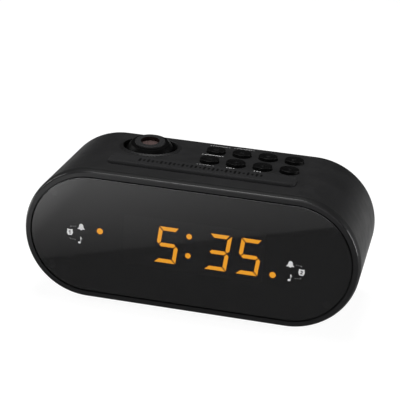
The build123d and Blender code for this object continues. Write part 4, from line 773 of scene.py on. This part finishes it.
def add_world():
    """White behind the object, a dim room in reflections, and soft light, most from the front."""
    world = bpy.data.worlds.new("studio")
    bpy.context.scene.world = world
    tree = Tree(world)
    way = tree.add("TexCoord").outputs["Generated"]
    axes = tree.axes(way)
    path = tree.add("LightPath").outputs
    even = tree.ranged(axes["Y"], *AMBIENT_Y, AMBIENT_FRONT, AMBIENT)
    foot = tree.ranged(axes["Z"], *HORIZON_Z, HORIZON, ROOM)
    ceiling_cosine = tree.measure("DOT_PRODUCT", way, CEILING_WAY)
    ceiling = tree.ranged(ceiling_cosine, *CEILING_WITHIN, ROOM, CEILING)
    room = tree.math("MAXIMUM", foot, ceiling)
    seen = tree.math("MAXIMUM", path["Is Camera Ray"], path["Is Transmission Ray"])
    level = tree.mixed(seen, tree.mixed(path["Is Glossy Ray"], even, room), 1.0)
    background = tree.nodes["Background"].inputs
    background["Color"].default_value = (1, 1, 1, 1)
    tree.fill(background["Strength"], level)


FLOOR_SIZE, FLOOR_DROP = 3.0, 0.05 * MM         # the drop keeps its face off the feet's
FLOOR_SHADE, FLOOR_GLOW = 0.17, 0.93            # to the camera: how much shadow shows, the rest
FLOOR_WHITE = 0.9                               # to the light that it scatters
# In reflections a bright sheet lies before the clock. It begins at a line through a corner.
SHEET_CORNER, SHEET_RUN = Vector((-0.1058, -0.0914, 0.0)), Vector((0.1788, -0.1329, 0.0))
SHEET_EDGE, SHEET_DEPTH = 0.002, 0.14           # half of the line's blur, and where levels end
SHEET_LEFT, SHEET_RIGHT = (0.50, 2.2), (0.78, 1.3)      # levels at the line and at that depth
SHEET_X = (-0.12, 0.10)                         # where those two pairs hold
SIDE_LEVEL, SIDE_X = 1.2, (-0.140, -0.121)      # added at the far left, for the bezel's left end
NEAR_LEVEL, STRIP_LEVEL = 0.34, 1.0             # between the sheet and the clock, and behind it
STRIP_Y, STRIP_X = (0.0, 0.05), (0.14, 0.155)   # where the strip behind begins, and its half width
FAR_Y, FAR_SHARE = (0.15, 0.40), 0.7            # further back it is wider and less bright


def sheet_level(tree):
    """How bright each place of the floor is in a reflection."""
    place = tree.place()
    axes = tree.axes(place)
    across = SHEET_RUN.normalized().cross(Vector((0, 0, 1)))
    beyond = tree.measure("DOT_PRODUCT", tree.vector("SUBTRACT", place, SHEET_CORNER), across)
    left = tree.ranged(beyond, 0.0, SHEET_DEPTH, *SHEET_LEFT)
    right = tree.ranged(beyond, 0.0, SHEET_DEPTH, *SHEET_RIGHT)
    sheet = tree.mixed(tree.ranged(axes["X"], *SHEET_X), left, right)
    sheet = tree.math("ADD", sheet, tree.ranged(axes["X"], *SIDE_X, SIDE_LEVEL, 0.0))
    within = tree.ranged(tree.math("ABSOLUTE", axes["X"]), *STRIP_X, 1.0, 0.0)
    strip = tree.math("MULTIPLY", tree.ranged(axes["Y"], *STRIP_Y), within)
    far = tree.ranged(axes["Y"], *FAR_Y, 0.0, FAR_SHARE)
    near = tree.ranged(tree.math("MAXIMUM", strip, far), 0.0, 1.0, NEAR_LEVEL, STRIP_LEVEL)
    return tree.mixed(tree.ranged(beyond, -SHEET_EDGE, SHEET_EDGE), near, sheet)


def floor_material():
    """White to the camera but for a soft shadow, and a bright sheet in reflections."""
    material = bpy.data.materials.new("floor")
    tree = Tree(material)
    tree.nodes.remove(tree.nodes["Principled BSDF"])
    path = tree.add("LightPath").outputs
    shade = tree.join("BsdfDiffuse", (*(FLOOR_SHADE,) * 3, 1))
    glow = tree.add("Emission", {"Strength": FLOOR_GLOW}).outputs[0]
    seen = tree.join("AddShader", shade, glow)
    sheet = tree.add("Emission", {"Strength": sheet_level(tree)}).outputs[0]
    plain = tree.join("BsdfDiffuse", (*(FLOOR_WHITE,) * 3, 1))
    others = tree.join("MixShader", path["Is Glossy Ray"], plain, sheet)
    surface = tree.join("MixShader", path["Is Camera Ray"], others, seen)
    tree.fill(tree.nodes["Material Output"].inputs["Surface"], surface)
    return material


def add_floor():
    half = FLOOR_SIZE / 2
    corners = [(-half, -half), (half, -half), (half, half), (-half, half)]
    mesh = bpy.data.meshes.new("floor")
    mesh.from_pydata([(x, y, -FLOOR_DROP) for x, y in corners], [], [(0, 1, 2, 3)])
    mesh.materials.append(floor_material())
    floor = shown("floor", mesh)


# ================================================================== the scene
add_camera()
dress_nodes()
lit("lit_digits", "led_segments_lit")
lit("lit_lamps", "indicator_leds")
alarm_icons("alarm_one", -71.6, 0.2, 1, 1)
alarm_icons("alarm_two", 66.9, -4.2, -1, 2)
top_labels()
button_marks()
snooze_ribs()
power_pin()
add_lamps()
add_world()
add_floor()
bpy.context.scene.view_settings.view_transform = "Standard"
